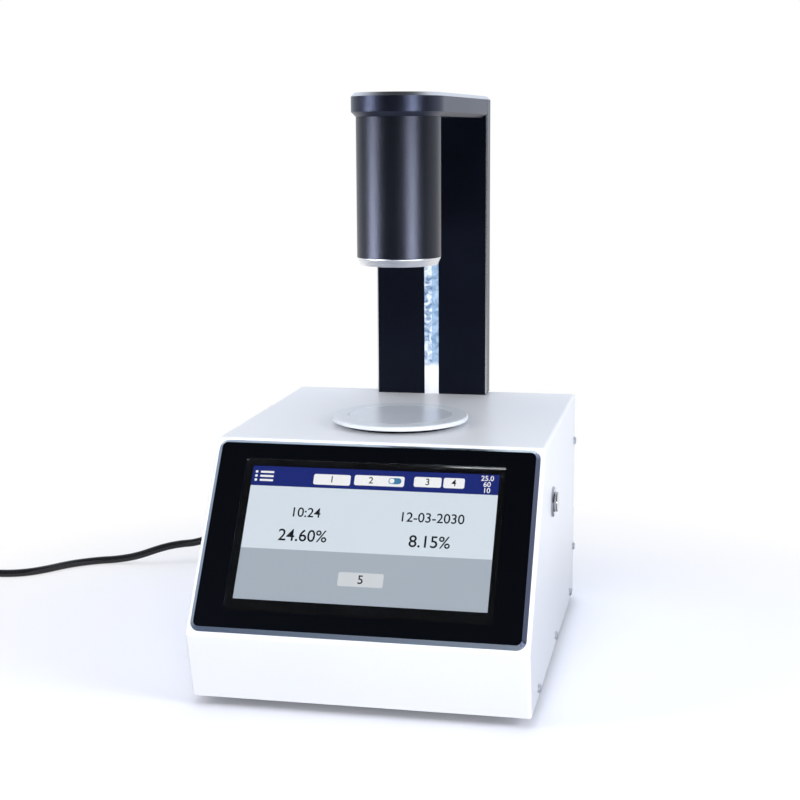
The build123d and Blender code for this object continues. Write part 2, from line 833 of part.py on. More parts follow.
with BuildPart() as detector_module:
    with BuildSketch(detector_plane.offset(boss_len)):
        Circle(detector_r + detector_flange_w)
    extrude(amount=detector_flange_t)
    with BuildSketch(detector_plane.offset(boss_len)):
        Circle(detector_bore_r - fit_gap)
    extrude(amount=-detector_spigot_len)
    with BuildSketch(detector_plane.offset(boss_len + detector_flange_t)):
        Circle(detector_r)
    extrude(amount=detector_len - detector_flange_t)
    fillet(detector_module.faces().sort_by(Axis((0, 0, 0), detector_plane.z_dir))[-1].edges(), 1.0)
detector_module.part.label = "detector_module"
export_step(detector_module.part, "parts/detector_module.step")

# Column: thick plate standing on the cover, with a channel for the strip and the lamp cable
column_front_y = rear_y - column_t
column_top_z = top_z + column_h
arm_bottom_z = column_top_z - arm_t
arm_mid_z = column_top_z - arm_t / 2
cable_y = column_front_y + strip_t + cable_channel_depth / 2
cable_r = cable_d / 2
arm_screw_points = [(s * arm_screw_spread / 2, arm_mid_z) for s in (-1, 1)]
with BuildPart() as column_plate:
    with BuildSketch(Plane.XY.offset(top_z)):
        with Locations((0, column_y)):
            Rectangle(column_w, column_t)
    extrude(amount=column_h)
    top_outline = column_plate.edges().group_by(Axis.Z)[-1].sort_by(Axis.Y)[1:]
    chamfer(top_outline, length=arm_top_edge)
    uprights = column_plate.edges().filter_by(Axis.Z)
    foot_edges = column_plate.edges().group_by(Axis.Z)[0]
    chamfer(uprights + foot_edges, length=plate_edge)
    with BuildSketch(Plane.XY.offset(top_z)):
        with Locations((0, column_front_y + strip_t / 2)):
            Rectangle(strip_w + 2 * strip_gap, strip_t)
        with Locations((0, cable_y)):
            Rectangle(cable_channel_w, cable_channel_depth)
    extrude(amount=arm_bottom_z - top_z, mode=Mode.SUBTRACT)
    with BuildSketch(Plane.XZ.offset(-column_front_y)):
        with Locations((0, (arm_bottom_z + arm_mid_z + cable_channel_w / 2) / 2)):
            Rectangle(cable_channel_w, arm_mid_z + cable_channel_w / 2 - arm_bottom_z)
    extrude(amount=-(strip_t + cable_channel_depth), mode=Mode.SUBTRACT)
    with BuildSketch(Plane.XZ.offset(-rear_y)):
        with Locations(*arm_screw_points):
            Circle(column_screw_r + screw_clearance)
    extrude(amount=column_t, mode=Mode.SUBTRACT)
    with BuildSketch(Plane.XZ.offset(-rear_y)):
        with Locations(*arm_screw_points):
            Circle(2 * column_screw_r)
    extrude(amount=column_screw_d, mode=Mode.SUBTRACT)
    with BuildSketch(Plane.XY.offset(top_z)):
        with Locations(*column_screw_points):
            Circle(column_screw_r + screw_clearance)
    extrude(amount=screw_reach, mode=Mode.SUBTRACT)
column_plate.part.label = "column_plate"
export_step(column_plate.part, "parts/column_plate.step")

with BuildPart() as column_trim_strip:
    with BuildSketch(Plane.XY.offset(top_z + strip_gap)):
        with BuildLine():
            Polyline(
                (-strip_w / 2, column_front_y),
                (0, column_front_y + strip_vee),
                (strip_w / 2, column_front_y),
                (strip_w / 2, column_front_y + strip_t),
                (-strip_w / 2, column_front_y + strip_t),
                close=True,
            )
        make_face()
    extrude(amount=arm_bottom_z - top_z - 2 * strip_gap)
column_trim_strip.part.label = "column_trim_strip"
export_step(column_trim_strip.part, "parts/column_trim_strip.step")

# Bracket under the cover: one leg below the column, one down the rear panel
with BuildPart() as column_bracket:
    with BuildSketch(Plane.YZ):
        with BuildLine():
            Polyline(
                (rear_y - sheet_t, under_top_z - fold_r),
                (rear_y - sheet_t, under_top_z - bracket_leg),
                (rear_y - sheet_t - bracket_leg_t, under_top_z - bracket_leg),
                (rear_y - sheet_t - bracket_leg_t, under_top_z - bracket_t),
                (rear_y - sheet_t - bracket_leg, under_top_z - bracket_t),
                (rear_y - sheet_t - bracket_leg, under_top_z),
                (rear_y - sheet_t - fold_r, under_top_z),
                close=True,
            )
        make_face()
    extrude(amount=column_w / 2 + 6.0, both=True)
    with BuildSketch(Plane.XY.offset(under_top_z)):
        with Locations(*column_screw_points):
            Circle(column_screw_r + screw_clearance)
        with Locations((0, wire_y)):
            Circle(wire_hole_r)
    extrude(amount=-bracket_t, mode=Mode.SUBTRACT)
column_bracket.part.label = "column_bracket"
export_step(column_bracket.part, "parts/column_bracket.step")

with BuildPart() as column_screws:
    with BuildSketch(Plane.XY.offset(under_top_z - bracket_t)):
        with Locations(*column_screw_points):
            Circle(bolt_head_ratio * column_screw_r)
    extrude(amount=-column_screw_d)
    with BuildSketch(Plane.XY.offset(under_top_z - bracket_t)):
        with Locations(*column_screw_points):
            Circle(column_screw_r)
    extrude(amount=bracket_t + sheet_t + screw_reach - bolt_short_by)
column_screws.part.label = "column_screws"
export_step(column_screws.part, "parts/column_screws.step")

# Arm: plate with a round nose over the optical axis, sides tangent to the nose
nose_angle = math.asin((column_w / 2 - nose_r) / (column_front_y - axis_y))
tangent_x = nose_r * math.cos(nose_angle)
tangent_y = axis_y + nose_r * math.sin(-nose_angle)
cable_run_z = arm_mid_z
with BuildPart() as head_arm:
    with BuildSketch(Plane.XY.offset(arm_bottom_z)):
        with BuildLine():
            ThreePointArc((-tangent_x, tangent_y), (0, axis_y - nose_r), (tangent_x, tangent_y))
            Line((tangent_x, tangent_y), (column_w / 2, column_front_y))
            Line((column_w / 2, column_front_y), (-column_w / 2, column_front_y))
            Line((-column_w / 2, column_front_y), (-tangent_x, tangent_y))
        make_face()
    extrude(amount=arm_t)
    chamfer(head_arm.edges().group_by(Axis.Z)[0], length=arm_bottom_edge)
    top_outline = head_arm.edges().group_by(Axis.Z)[-1].sort_by(Axis.Y)[:-1]
    chamfer(top_outline, length=arm_top_edge)
    with BuildSketch(Plane.XY.offset(arm_bottom_z)):
        with Locations((0, axis_y)):
            Circle(barrel_neck_r + screw_clearance)
    extrude(amount=barrel_neck_h + fit_gap, mode=Mode.SUBTRACT)
    with BuildSketch(Plane.XZ.offset(-column_front_y)):
        with Locations((0, cable_run_z)):
            Circle(cable_channel_w / 2)
    extrude(amount=column_front_y - axis_y, mode=Mode.SUBTRACT)
    with BuildSketch(Plane.XY.offset(arm_bottom_z + barrel_neck_h)):
        with Locations((0, axis_y)):
            Circle(cable_channel_w)
    extrude(amount=cable_channel_w + cable_pocket_clear, mode=Mode.SUBTRACT)
    with BuildSketch(Plane.XZ.offset(-column_front_y)):
        with Locations(*arm_screw_points):
            Circle(column_screw_r + screw_clearance)
    extrude(amount=screw_reach, mode=Mode.SUBTRACT)
head_arm.part.label = "head_arm"
export_step(head_arm.part, "parts/head_arm.step")

with BuildPart() as arm_screws:
    with BuildSketch(Plane.XZ.offset(-(rear_y - column_screw_d))):
        with Locations(*arm_screw_points):
            Circle(bolt_head_ratio * column_screw_r)
    extrude(amount=-(column_screw_d - bolt_head_sunk))
    with BuildSketch(Plane.XZ.offset(-(rear_y - column_screw_d))):
        with Locations(*arm_screw_points):
            Circle(column_screw_r)
    extrude(amount=column_t - column_screw_d + screw_reach - bolt_short_by)
    with BuildSketch(Plane.XZ.offset(-(rear_y - bolt_head_sunk))):
        with Locations(*arm_screw_points):
            RegularPolygon(column_screw_r * 0.8, 6)
    extrude(amount=hex_depth, mode=Mode.SUBTRACT)
arm_screws.part.label = "arm_screws"
export_step(arm_screws.part, "parts/arm_screws.step")

# Lamp barrel: turned tube hung from the arm by a threaded neck
barrel_top_z = arm_bottom_z - screw_clearance
barrel_bottom_z = barrel_top_z - barrel_len
bore_r = barrel_r - barrel_wall
cavity_top_z = barrel_top_z - barrel_roof_t
with BuildPart() as light_barrel:
    with BuildSketch(axis_section):
        with BuildLine():
            Polyline(
                (bore_r, barrel_bottom_z),
                (barrel_r, barrel_bottom_z),
                (barrel_r, barrel_top_z),
                (barrel_neck_r, barrel_top_z),
                (barrel_neck_r, barrel_top_z + barrel_neck_h),
                (cable_channel_w, barrel_top_z + barrel_neck_h),
                (cable_channel_w, cavity_top_z),
                (bore_r, cavity_top_z),
                close=True,
            )
        make_face()
    revolve(axis=optical_axis)
light_barrel.part.label = "light_barrel"
export_step(light_barrel.part, "parts/light_barrel.step")

# Front ring: bright tapered ring with a spigot in the barrel and a seat for the lens
ring_bottom_z = barrel_bottom_z - ring_h
ring_bore_r = lens_r - lens_lip
spigot_top_z = barrel_bottom_z + ring_spigot_h
lens_seat_z = ring_bottom_z + lens_lift
with BuildPart() as barrel_ring:
    with BuildSketch(axis_section):
        with BuildLine():
            Polyline(
                (ring_bore_r, ring_bottom_z),
                (barrel_r - ring_taper, ring_bottom_z),
                (barrel_r - barrel_edge, barrel_bottom_z - 3 * barrel_edge),
                (barrel_r - barrel_edge, barrel_bottom_z),
                (bore_r - screw_clearance, barrel_bottom_z),
                (bore_r - screw_clearance, spigot_top_z),
                (lens_r + screw_clearance, spigot_top_z),
                (lens_r + screw_clearance, lens_seat_z),
                (ring_bore_r, lens_seat_z),
                close=True,
            )
        make_face()
    revolve(axis=optical_axis)
barrel_ring.part.label = "barrel_ring"
export_step(barrel_ring.part, "parts/barrel_ring.step")

lens_edge_z = lens_seat_z + lens_edge_t
lens_land_r = lens_r - lens_land
with BuildPart() as front_lens:
    with BuildSketch(axis_section):
        with BuildLine():
            Line((0, lens_seat_z), (lens_r, lens_seat_z))
            Line((lens_r, lens_seat_z), (lens_r, lens_edge_z))
            Line((lens_r, lens_edge_z), (lens_land_r, lens_edge_z))
            RadiusArc(
                (lens_land_r, lens_edge_z),
                (0, lens_edge_z + lens_crown),
                -(lens_land_r**2 + lens_crown**2) / (2 * lens_crown),
            )
            Line((0, lens_edge_z + lens_crown), (0, lens_seat_z))
        make_face()
    revolve(axis=optical_axis)
front_lens.part.label = "front_lens"
export_step(front_lens.part, "parts/front_lens.step")

with BuildPart() as lens_clamp_ring:
    with BuildSketch(Plane.XY.offset(lens_edge_z)):
        with Locations((0, axis_y)):
            Circle(lens_r)
            Circle(lens_land_r, mode=Mode.SUBTRACT)
    extrude(amount=clamp_ring_h)
lens_clamp_ring.part.label = "lens_clamp_ring"
export_step(lens_clamp_ring.part, "parts/lens_clamp_ring.step")

# Lamp: finned sink against the barrel's roof, lamp board below it, condenser cell below that
sink_top_z = cavity_top_z
sink_bottom_z = sink_top_z - sink_h
sink_hub_r = led_board_r + sink_hub_margin
fin_r = bore_r - fit_gap
with BuildPart() as lamp_heat_sink:
    with BuildSketch(Plane.XY.offset(sink_bottom_z)):
        with Locations((0, axis_y)):
            Circle(fin_r)
    extrude(amount=sink_base_t)
    with BuildSketch(Plane.XY.offset(sink_bottom_z + sink_base_t)):
        with Locations((0, axis_y)):
            Circle(sink_hub_r)
            with PolarLocations((sink_hub_r + fin_r) / 2 - fin_root, sink_fin_count):
                Rectangle(fin_r - sink_hub_r + fin_root, fin_t)
    extrude(amount=sink_h - sink_base_t)
    with BuildSketch(Plane.XY.offset(sink_bottom_z)):
        with Locations((0, axis_y)):
            Circle(cable_channel_w / 2)
    extrude(amount=sink_h, mode=Mode.SUBTRACT)
lamp_heat_sink.part.label = "lamp_heat_sink"
export_step(lamp_heat_sink.part, "parts/lamp_heat_sink.step")

with BuildPart() as lamp_board:
    with BuildSketch(Plane.XY.offset(sink_bottom_z)):
        with Locations((0, axis_y)):
            Circle(led_board_r)
    extrude(amount=-board_t)
    with BuildSketch(Plane.XY.offset(sink_bottom_z - board_t)):
        with Locations((0, axis_y)):
            Rectangle(emitter_w, emitter_w)
    extrude(amount=-emitter_h)
lamp_board.part.label = "lamp_board"
export_step(lamp_board.part, "parts/lamp_board.step")

condenser_r = led_board_r - condenser_inset
cell_bottom_z = sink_bottom_z - cell_h
condenser_z = cell_bottom_z + cell_floor_t
with BuildPart() as condenser_cell:
    with BuildSketch(axis_section):
        with BuildLine():
            Polyline(
                (condenser_r - lens_lip, cell_bottom_z),
                (fin_r, cell_bottom_z),
                (fin_r, cell_bottom_z + 2 * cell_floor_t),
                (led_board_r + cell_wall, cell_bottom_z + 3 * cell_floor_t),
                (led_board_r + cell_wall, sink_bottom_z),
                (led_board_r + fit_gap, sink_bottom_z),
                (led_board_r + fit_gap, sink_bottom_z - board_t - fit_gap),
                (condenser_r + screw_clearance, sink_bottom_z - board_t - fit_gap),
                (condenser_r + screw_clearance, condenser_z),
                (condenser_r - lens_lip, condenser_z),
                close=True,
            )
        make_face()
    revolve(axis=optical_axis)
condenser_cell.part.label = "condenser_cell"
export_step(condenser_cell.part, "parts/condenser_cell.step")

condenser_edge_z = condenser_z + condenser_land
with BuildPart() as condenser_lens:
    with BuildSketch(axis_section):
        with BuildLine():
            Line((0, condenser_z), (condenser_r, condenser_z))
            Line((condenser_r, condenser_z), (condenser_r, condenser_edge_z))
            RadiusArc(
                (condenser_r, condenser_edge_z),
                (0, condenser_edge_z + condenser_crown),
                -(condenser_r**2 + condenser_crown**2) / (2 * condenser_crown),
            )
            Line((0, condenser_edge_z + condenser_crown), (0, condenser_z))
        make_face()
    revolve(axis=optical_axis)
condenser_lens.part.label = "condenser_lens"
export_step(condenser_lens.part, "parts/condenser_lens.step")

# Lamp cable: up the column channel, through the arm and down to the lamp's heat sink
cable_bend_r = cable_bend_ratio * cable_d
with BuildPart() as lamp_cable:
    with BuildLine() as cable_path:
        FilletPolyline(
            (0, cable_y, under_top_z - bracket_t - cable_tail),
            (0, cable_y, cable_run_z),
            (0, axis_y, cable_run_z),
            (0, axis_y, sink_bottom_z + cable_end_gap),
            radius=cable_bend_r,
        )
    with BuildSketch(Plane.XY.offset(under_top_z - bracket_t - cable_tail)):
        with Locations((0, cable_y)):
            Circle(cable_r)
    sweep(path=cable_path.line)
lamp_cable.part.label = "lamp_cable"
export_step(lamp_cable.part, "parts/lamp_cable.step")

# Power button: flanged metal body through the right wall, held by a nut
button_pos = (button_y, base_z + button_z)
wall_plane = Plane.YZ.offset(housing_w / 2)
button_bore_depth = button_travel + spring_room
with BuildPart() as power_button_body:
    with BuildSketch(wall_plane):
        with Locations(button_pos):
            Circle(button_flange_r)
    extrude(amount=button_flange_t)
    chamfer(power_button_body.edges().group_by(Axis.X)[-1], length=button_flange_t * 0.5)
    with BuildSketch(wall_plane):
        with Locations(button_pos):
            Circle(button_body_r)
    extrude(amount=-button_body_len)
    with BuildSketch(wall_plane.offset(button_flange_t)):
        with Locations(button_pos):
            Circle(button_cap_r + button_gap)
    extrude(amount=-(button_flange_t + button_bore_depth), mode=Mode.SUBTRACT)
power_button_body.part.label = "power_button_body"
export_step(power_button_body.part, "parts/power_button_body.step")

cap_face_x = housing_w / 2 + button_flange_t + button_cap_proud
cap_len = button_flange_t + button_cap_proud + cap_skirt
with BuildPart() as power_button_cap:
    with BuildSketch(Plane.YZ.offset(cap_face_x)):
        with Locations(button_pos):
            Circle(button_cap_r)
    extrude(amount=-cap_len)
    fillet(power_button_cap.edges().group_by(Axis.X)[-1], radius=cap_edge_r)
    with BuildSketch(Plane.YZ.offset(cap_face_x - cap_len)):
        with Locations(button_pos):
            Circle(spring_r + spring_wire_d)
            Circle(cap_peg_r, mode=Mode.SUBTRACT)
    extrude(amount=cap_recess_depth, mode=Mode.SUBTRACT)
power_button_cap.part.label = "power_button_cap"
export_step(power_button_cap.part, "parts/power_button_cap.step")

with BuildPart() as power_button_nut:
    with BuildSketch(Plane.YZ.offset(housing_w / 2 - sheet_t)):
        with Locations(button_pos):
            RegularPolygon(button_nut_r, 6)
            Circle(button_body_r + screw_clearance, mode=Mode.SUBTRACT)
    extrude(amount=-button_nut_t)
power_button_nut.part.label = "power_button_nut"
export_step(power_button_nut.part, "parts/power_button_nut.step")

with BuildPart() as power_button_contacts:
    with BuildSketch(wall_plane.offset(-button_body_len)):
        with Locations(button_pos):
            Circle(button_body_r - contact_inset)
    extrude(amount=-contact_base_t)
    with BuildSketch(wall_plane.offset(-button_body_len - contact_base_t)):
        with Locations(button_pos):
            with PolarLocations(contact_spread_r, 4):
                Rectangle(contact_t, contact_w)
    extrude(amount=-contact_len)
power_button_contacts.part.label = "power_button_contacts"
export_step(power_button_contacts.part, "parts/power_button_contacts.step")

# Power inlet on the rear panel: flange outside, socket with three blades inside
blade_points = [
    (inlet_x - pin_spread / 2, base_z + inlet_z - pin_offset / 2),
    (inlet_x, base_z + inlet_z + pin_offset / 2),
    (inlet_x + pin_spread / 2, base_z + inlet_z - pin_offset / 2),
]
with BuildPart() as power_inlet:
    with BuildSketch(rear_plane.offset(-rear_projection)):
        with Locations(inlet_pos):
            RectangleRounded(inlet_ear_w, inlet_ear_h, inlet_corner_r)
    extrude(amount=rear_projection)
    with BuildSketch(rear_plane):
        with Locations(inlet_pos):
            Rectangle(inlet_w, inlet_h)
    extrude(amount=inlet_depth - rear_projection)
    with BuildSketch(rear_plane.offset(-rear_projection)):
        with Locations(inlet_pos):
            RectangleRounded(socket_w, socket_h, socket_corner_r)
    extrude(amount=socket_depth, mode=Mode.SUBTRACT)
    with BuildSketch(rear_plane.offset(socket_depth - rear_projection)):
        with Locations(*blade_points):
            Rectangle(pin_w, pin_h)
    extrude(amount=-(socket_depth - socket_floor_gap))
    with BuildSketch(rear_plane.offset(inlet_depth - rear_projection)):
        with Locations(*blade_points):
            Rectangle(contact_t, pin_h)
    extrude(amount=contact_len)
    with BuildSketch(rear_plane.offset(-rear_projection)):
        with Locations(*inlet_hole_points):
            Circle(screw_hole_r)
    extrude(amount=rear_projection, mode=Mode.SUBTRACT)
power_inlet.part.label = "power_inlet"
export_step(power_inlet.part, "parts/power_inlet.step")

inlet_sink_r = screw_head_d / 2
with BuildPart() as inlet_screws:
    with BuildSketch(rear_plane.offset(-rear_projection)):
        with Locations(*inlet_hole_points):
            Circle(inlet_sink_r)
    extrude(amount=-screw_head_h * inlet_head_share)
    with BuildSketch(rear_plane.offset(-rear_projection)):
        with Locations(*inlet_hole_points):
            Circle(screw_d / 2)
    extrude(amount=rear_projection + sheet_t + side_screw_reach)
inlet_screws.part.label = "inlet_screws"
export_step(inlet_screws.part, "parts/inlet_screws.step")

# Data socket: metal shell with a tongue, in the rear panel
with BuildPart() as usb_port:
    with BuildSketch(rear_plane.offset(-usb_proud)):
        with Locations(usb_pos):
            Rectangle(usb_w, usb_h)
    extrude(amount=usb_depth)
    with BuildSketch(rear_plane.offset(-usb_proud)):
        with Locations(usb_pos):
            Rectangle(usb_mouth, usb_mouth - usb_proud)
    extrude(amount=usb_depth - usb_floor, mode=Mode.SUBTRACT)
    with BuildSketch(rear_plane.offset(usb_depth - usb_floor - usb_proud)):
        with Locations(usb_pos):
            Rectangle(usb_tongue_w, usb_tongue_h)
    extrude(amount=-(usb_depth - usb_tongue_short))
usb_port.part.label = "usb_port"
export_step(usb_port.part, "parts/usb_port.step")

# Data board that carries the data socket, on the base tray's rear edge
usb_board_z = base_z + usb_z - usb_h / 2
with BuildPart() as usb_board:
    with BuildSketch(Plane.XY.offset(usb_board_z)):
        with Locations((usb_x, rear_y - sheet_t - usb_board_gap - usb_board_d / 2)):
            Rectangle(usb_board_w, usb_board_d)
    extrude(amount=-board_t)
    with BuildSketch(Plane.XY.offset(usb_board_z - board_t)):
        with Locations((usb_x, rear_y - sheet_t - usb_board_gap - usb_board_d / 2)):
            with GridLocations(usb_board_w - usb_post_inset, usb_board_d - usb_post_inset, 2, 2):
                Circle(standoff_r)
    extrude(amount=-(usb_board_z - board_t - base_z - sheet_t))
usb_board.part.label = "usb_board"
export_step(usb_board.part, "parts/usb_board.step")

# Power supply: vented case with feet on the tray, behind the sphere on the left
psu_x = inlet_x
psu_y = rear_y - inlet_depth - psu_setback - psu_d / 2
psu_z = base_z + sheet_t
with BuildPart() as power_supply:
    with BuildSketch(Plane.XY.offset(psu_z)):
        with Locations((psu_x, psu_y)):
            Rectangle(psu_w, psu_d)
    extrude(amount=psu_h)
    fillet(power_supply.edges().filter_by(Axis.Z), radius=sheet_t)
    with BuildSketch(Plane.XY.offset(psu_z + psu_h)):
        with Locations((psu_x, psu_y)):
            with GridLocations(psu_vent_pitch, 1, psu_vent_count, 1):
                SlotOverall(psu_d * psu_vent_share, psu_vent_w, rotation=90)
    extrude(amount=-psu_vent_depth, mode=Mode.SUBTRACT)
power_supply.part.label = "power_supply"
export_step(power_supply.part, "parts/power_supply.step")

# Main board under the slope, on four posts of its own
main_board_z = base_z + sheet_t + main_board_lift
main_board_y = tray_front_y + main_board_setback + main_board_d / 2
with BuildPart() as main_board:
    with BuildSketch(Plane.XY.offset(main_board_z)):
        with Locations((0, main_board_y)):
            Rectangle(main_board_w, main_board_d)
    extrude(amount=board_t)
    with BuildSketch(Plane.XY.offset(main_board_z)):
        with Locations((0, main_board_y)):
            with GridLocations(main_board_w - 2 * board_screw_inset, main_board_d - 2 * board_screw_inset, 2, 2):
                Circle(standoff_r)
    extrude(amount=-(main_board_z - base_z - sheet_t))
    with BuildSketch(Plane.XY.offset(main_board_z + board_t)):
        with Locations((-processor_x, main_board_y)):
            Rectangle(processor_w, processor_w)
        with Locations((memory_x, main_board_y + memory_d), (memory_x, main_board_y - memory_d)):
            Rectangle(memory_w, memory_d)
    extrude(amount=chip_low_h)
    with BuildSketch(Plane.XY.offset(main_board_z + board_t)):
        with Locations((-capacitor_x, main_board_y)):
            with GridLocations(1, capacitor_pitch, 1, 3):
                Circle(capacitor_r)
        with Locations((header_x, main_board_y)):
            Rectangle(header_w, header_len)
    extrude(amount=capacitor_h)
main_board.part.label = "main_board"
export_step(main_board.part, "parts/main_board.step")

# Mains lead: connector in the inlet, free lead to the left, coil, tie and plug
shoulder_y = rear_y + rear_projection + fit_gap
nose_len = socket_depth - 2 * fit_gap
connector_plane = Plane(origin=(inlet_x, shoulder_y, base_z + inlet_z), x_dir=(-1, 0, 0), z_dir=(0, 1, 0))
with BuildPart() as cord_connector:
    with BuildSketch(connector_plane):
        RectangleRounded(socket_w - 3 * fit_gap, socket_h - 3 * fit_gap, socket_corner_r)
    extrude(amount=-nose_len)
    with BuildSketch(connector_plane):
        RectangleRounded(connector_w, connector_h, inlet_corner_r)
    extrude(amount=connector_body_len)
    with BuildSketch(connector_plane.offset(connector_body_len)):
        RectangleRounded(connector_w, connector_h, inlet_corner_r)
    with BuildSketch(connector_plane.offset(connector_body_len + connector_taper_len)):
        RectangleRounded(2 * relief_r + 2.0, 2 * relief_r + 1.0, relief_r * 0.9)
    loft()
    with BuildSketch(connector_plane.offset(connector_body_len + connector_taper_len)):
        Circle(relief_r)
    with BuildSketch(connector_plane.offset(connector_body_len + connector_taper_len + relief_len)):
        Circle(relief_tip_r)
    loft()
    for rib in range(4):
        rib_place = connector_body_len + connector_taper_len + relief_rib_w + 1.2 + rib * relief_rib_pitch
        with BuildSketch(connector_plane.offset(rib_place)):
            Circle(relief_r + relief_clear)
            Circle(relief_tip_r - relief_rib_depth, mode=Mode.SUBTRACT)
        extrude(amount=relief_rib_w, mode=Mode.SUBTRACT)
    with BuildSketch(connector_plane.offset(-nose_len)):
        with Locations(*[(inlet_x - x, z - base_z - inlet_z) for x, z in blade_points]):
            Rectangle(pin_w + 3 * fit_gap, pin_h + 3 * fit_gap)
    extrude(amount=socket_depth - socket_floor_gap + 0.5, mode=Mode.SUBTRACT)
cord_connector.part.label = "cord_connector"
export_step(cord_connector.part, "parts/cord_connector.step")

coil_z = cord_d / 2 + tie_t + fit_gap
lead_start_y = shoulder_y + connector_body_len + connector_taper_len + relief_len
lead_points = [
    (inlet_x, lead_start_y, base_z + inlet_z),
    (inlet_x, lead_start_y + lead_straight, base_z + inlet_z),
    (-58.1, 216.2, 40.6),
    (-70.0, 227.0, 39.8),
    (-86.9, 233.2, 38.3),
    (-107.9, 232.6, 36.0),
    (-131.0, 225.4, 33.0),
    (-155.0, 212.7, 29.0),
    (-179.0, 197.3, 23.5),
    (-203.0, 175.4, 15.9),
    (-217.5, 169.3, 15.6),
    (-231.4, 164.8, 12.9),
    (-250.6, 160.8, 6.0),
    (-267.5, 157.8, 3.2),
    (-281.4, 153.2, 3.0),
    (-299.6, 139.5, 3.0),
    (-314.1, 118.3, 3.0),
    (-327.5, 107.5, 3.0),
    (-344.0, 103.5, 3.0),
    (-361.0, 102.6, coil_z),
    (-376.0, 102.6, coil_z),
]


def corner_radii(points):
    """Largest arc for each corner: 0.45 of its shorter run over the tangent of half its turn."""
    radii = []
    for before, here, after in zip(points, points[1:], points[2:]):
        run_in = Vector(*here) - Vector(*before)
        run_out = Vector(*after) - Vector(*here)
        half_turn = math.radians(run_in.get_angle(run_out)) / 2
        radii.append(0.45 * min(run_in.length, run_out.length) / math.tan(half_turn))
    return radii


lead_radii = corner_radii(lead_points)
print("lead radii", [round(r, 1) for r in lead_radii])
with BuildPart() as cord_lead:
    with BuildLine() as lead_path:
        FilletPolyline(*lead_points, radius=lead_radii)
    with BuildSketch(Plane(origin=lead_points[0], z_dir=(0, 1, 0))):
        Circle(cord_d / 2)
    sweep(path=lead_path.line)
lead_len = lead_path.wire().length
print("lead length", round(lead_len, 1))
print("lead volume", round(cord_lead.part.volume), round(math.pi * cord_d**2 / 4 * lead_len))
cord_lead.part.label = "cord_lead"
export_step(cord_lead.part, "parts/cord_lead.step")

# Coil: spirals in, climbs in the half turn where it reverses, and spirals out on the second layer
coil_pitch = cord_d + 0.5
coil_low_steps = (1, 2, 3, 4)
coil_high_steps = (5, 2, 3, 0)
plug_axis_z = plug_t / 2
coil_start = Vector(*lead_points[-1])
lead_in_r = coil_outer_r + coil_pitch / 4
lead_in_x = coil_start.X - cord_d
coil_x = lead_in_x - coil_pitch / 4
coil_y = coil_start.Y - lead_in_r
coil_steps = coil_low_steps + coil_high_steps
half_turn_ends = [Vector(coil_x - coil_outer_r, coil_y, coil_z)]
for count, step in enumerate(coil_steps):
    side = 1 if count % 2 == 0 else -1
    level = coil_z if count < len(coil_low_steps) else coil_z + coil_pitch
    if count == len(coil_steps) - 1:
        level = plug_axis_z
    half_turn_ends.append(Vector(coil_x + side * (coil_outer_r - step * coil_pitch / 2), coil_y, level))
coil_tail_y = half_turn_ends[-1].Y - 2 * cord_d
quarter_side = lead_in_r * math.sin(math.pi / 4)
quarter_mid = Vector(lead_in_x - quarter_side, coil_y + quarter_side, coil_z)
with BuildPart() as cord_coil:
    with BuildLine() as coil_path:
        Line(coil_start, (lead_in_x, coil_start.Y, coil_z))
        ThreePointArc((lead_in_x, coil_start.Y, coil_z), quarter_mid, half_turn_ends[0])
        for count, (start, end) in enumerate(zip(half_turn_ends, half_turn_ends[1:])):
            ahead = -1 if count % 2 == 0 else 1
            middle = (start + end) * 0.5 + Vector(0, ahead * (end - start).length / 2, 0)
            ThreePointArc(start, middle, end)
        Line(half_turn_ends[-1], (half_turn_ends[-1].X, coil_tail_y, plug_axis_z))
    with BuildSketch(Plane(origin=coil_start, z_dir=(-1, 0, 0))):
        Circle(cord_d / 2)
    sweep(path=coil_path.line)
coil_len = coil_path.wire().length
print("coil length", round(coil_len, 1), "whole lead", round(lead_len + coil_len, 1))
print("coil volume", round(cord_coil.part.volume), round(math.pi * cord_d**2 / 4 * coil_len))
cord_coil.part.label = "cord_coil"
export_step(cord_coil.part, "parts/cord_coil.step")


def least_gap(path, diameter, samples=700):
    """Least distance between two turns of one tube, on points along its path."""
    points = [path.position_at(i / samples) for i in range(samples + 1)]
    apart = int(samples * 4 * diameter / path.length) + 1
    gaps = [
        (points[i] - points[j]).length - diameter
        for i in range(samples + 1)
        for j in range(i + apart, samples + 1)
    ]
    return min(gaps)


print("coil least gap", round(least_gap(coil_path.wire(), cord_d), 2))

# Tie: a strap closed round the turns on the coil's near side
tie_near_y = coil_y - (coil_outer_r - coil_pitch / 4 + cord_d / 2 + 0.5)
tie_far_y = coil_y - (coil_outer_r - coil_pitch * 9 / 4 - cord_d / 2 - 1.2)
tie_low_z = tie_t
tie_high_z = coil_z + coil_pitch + cord_d / 2 + 0.4
with BuildPart() as cord_tie:
    with BuildSketch(Plane.YZ.offset(coil_x - coil_pitch / 4 - tie_w / 2)):
        with Locations(((tie_near_y + tie_far_y) / 2, (tie_low_z + tie_high_z) / 2)):
            RectangleRounded(tie_far_y - tie_near_y + 2 * tie_t, tie_high_z - tie_low_z + 2 * tie_t, 2.8)
            RectangleRounded(tie_far_y - tie_near_y, tie_high_z - tie_low_z, 2.0, mode=Mode.SUBTRACT)
    extrude(amount=tie_w)
cord_tie.part.label = "cord_tie"
export_step(cord_tie.part, "parts/cord_tie.step")

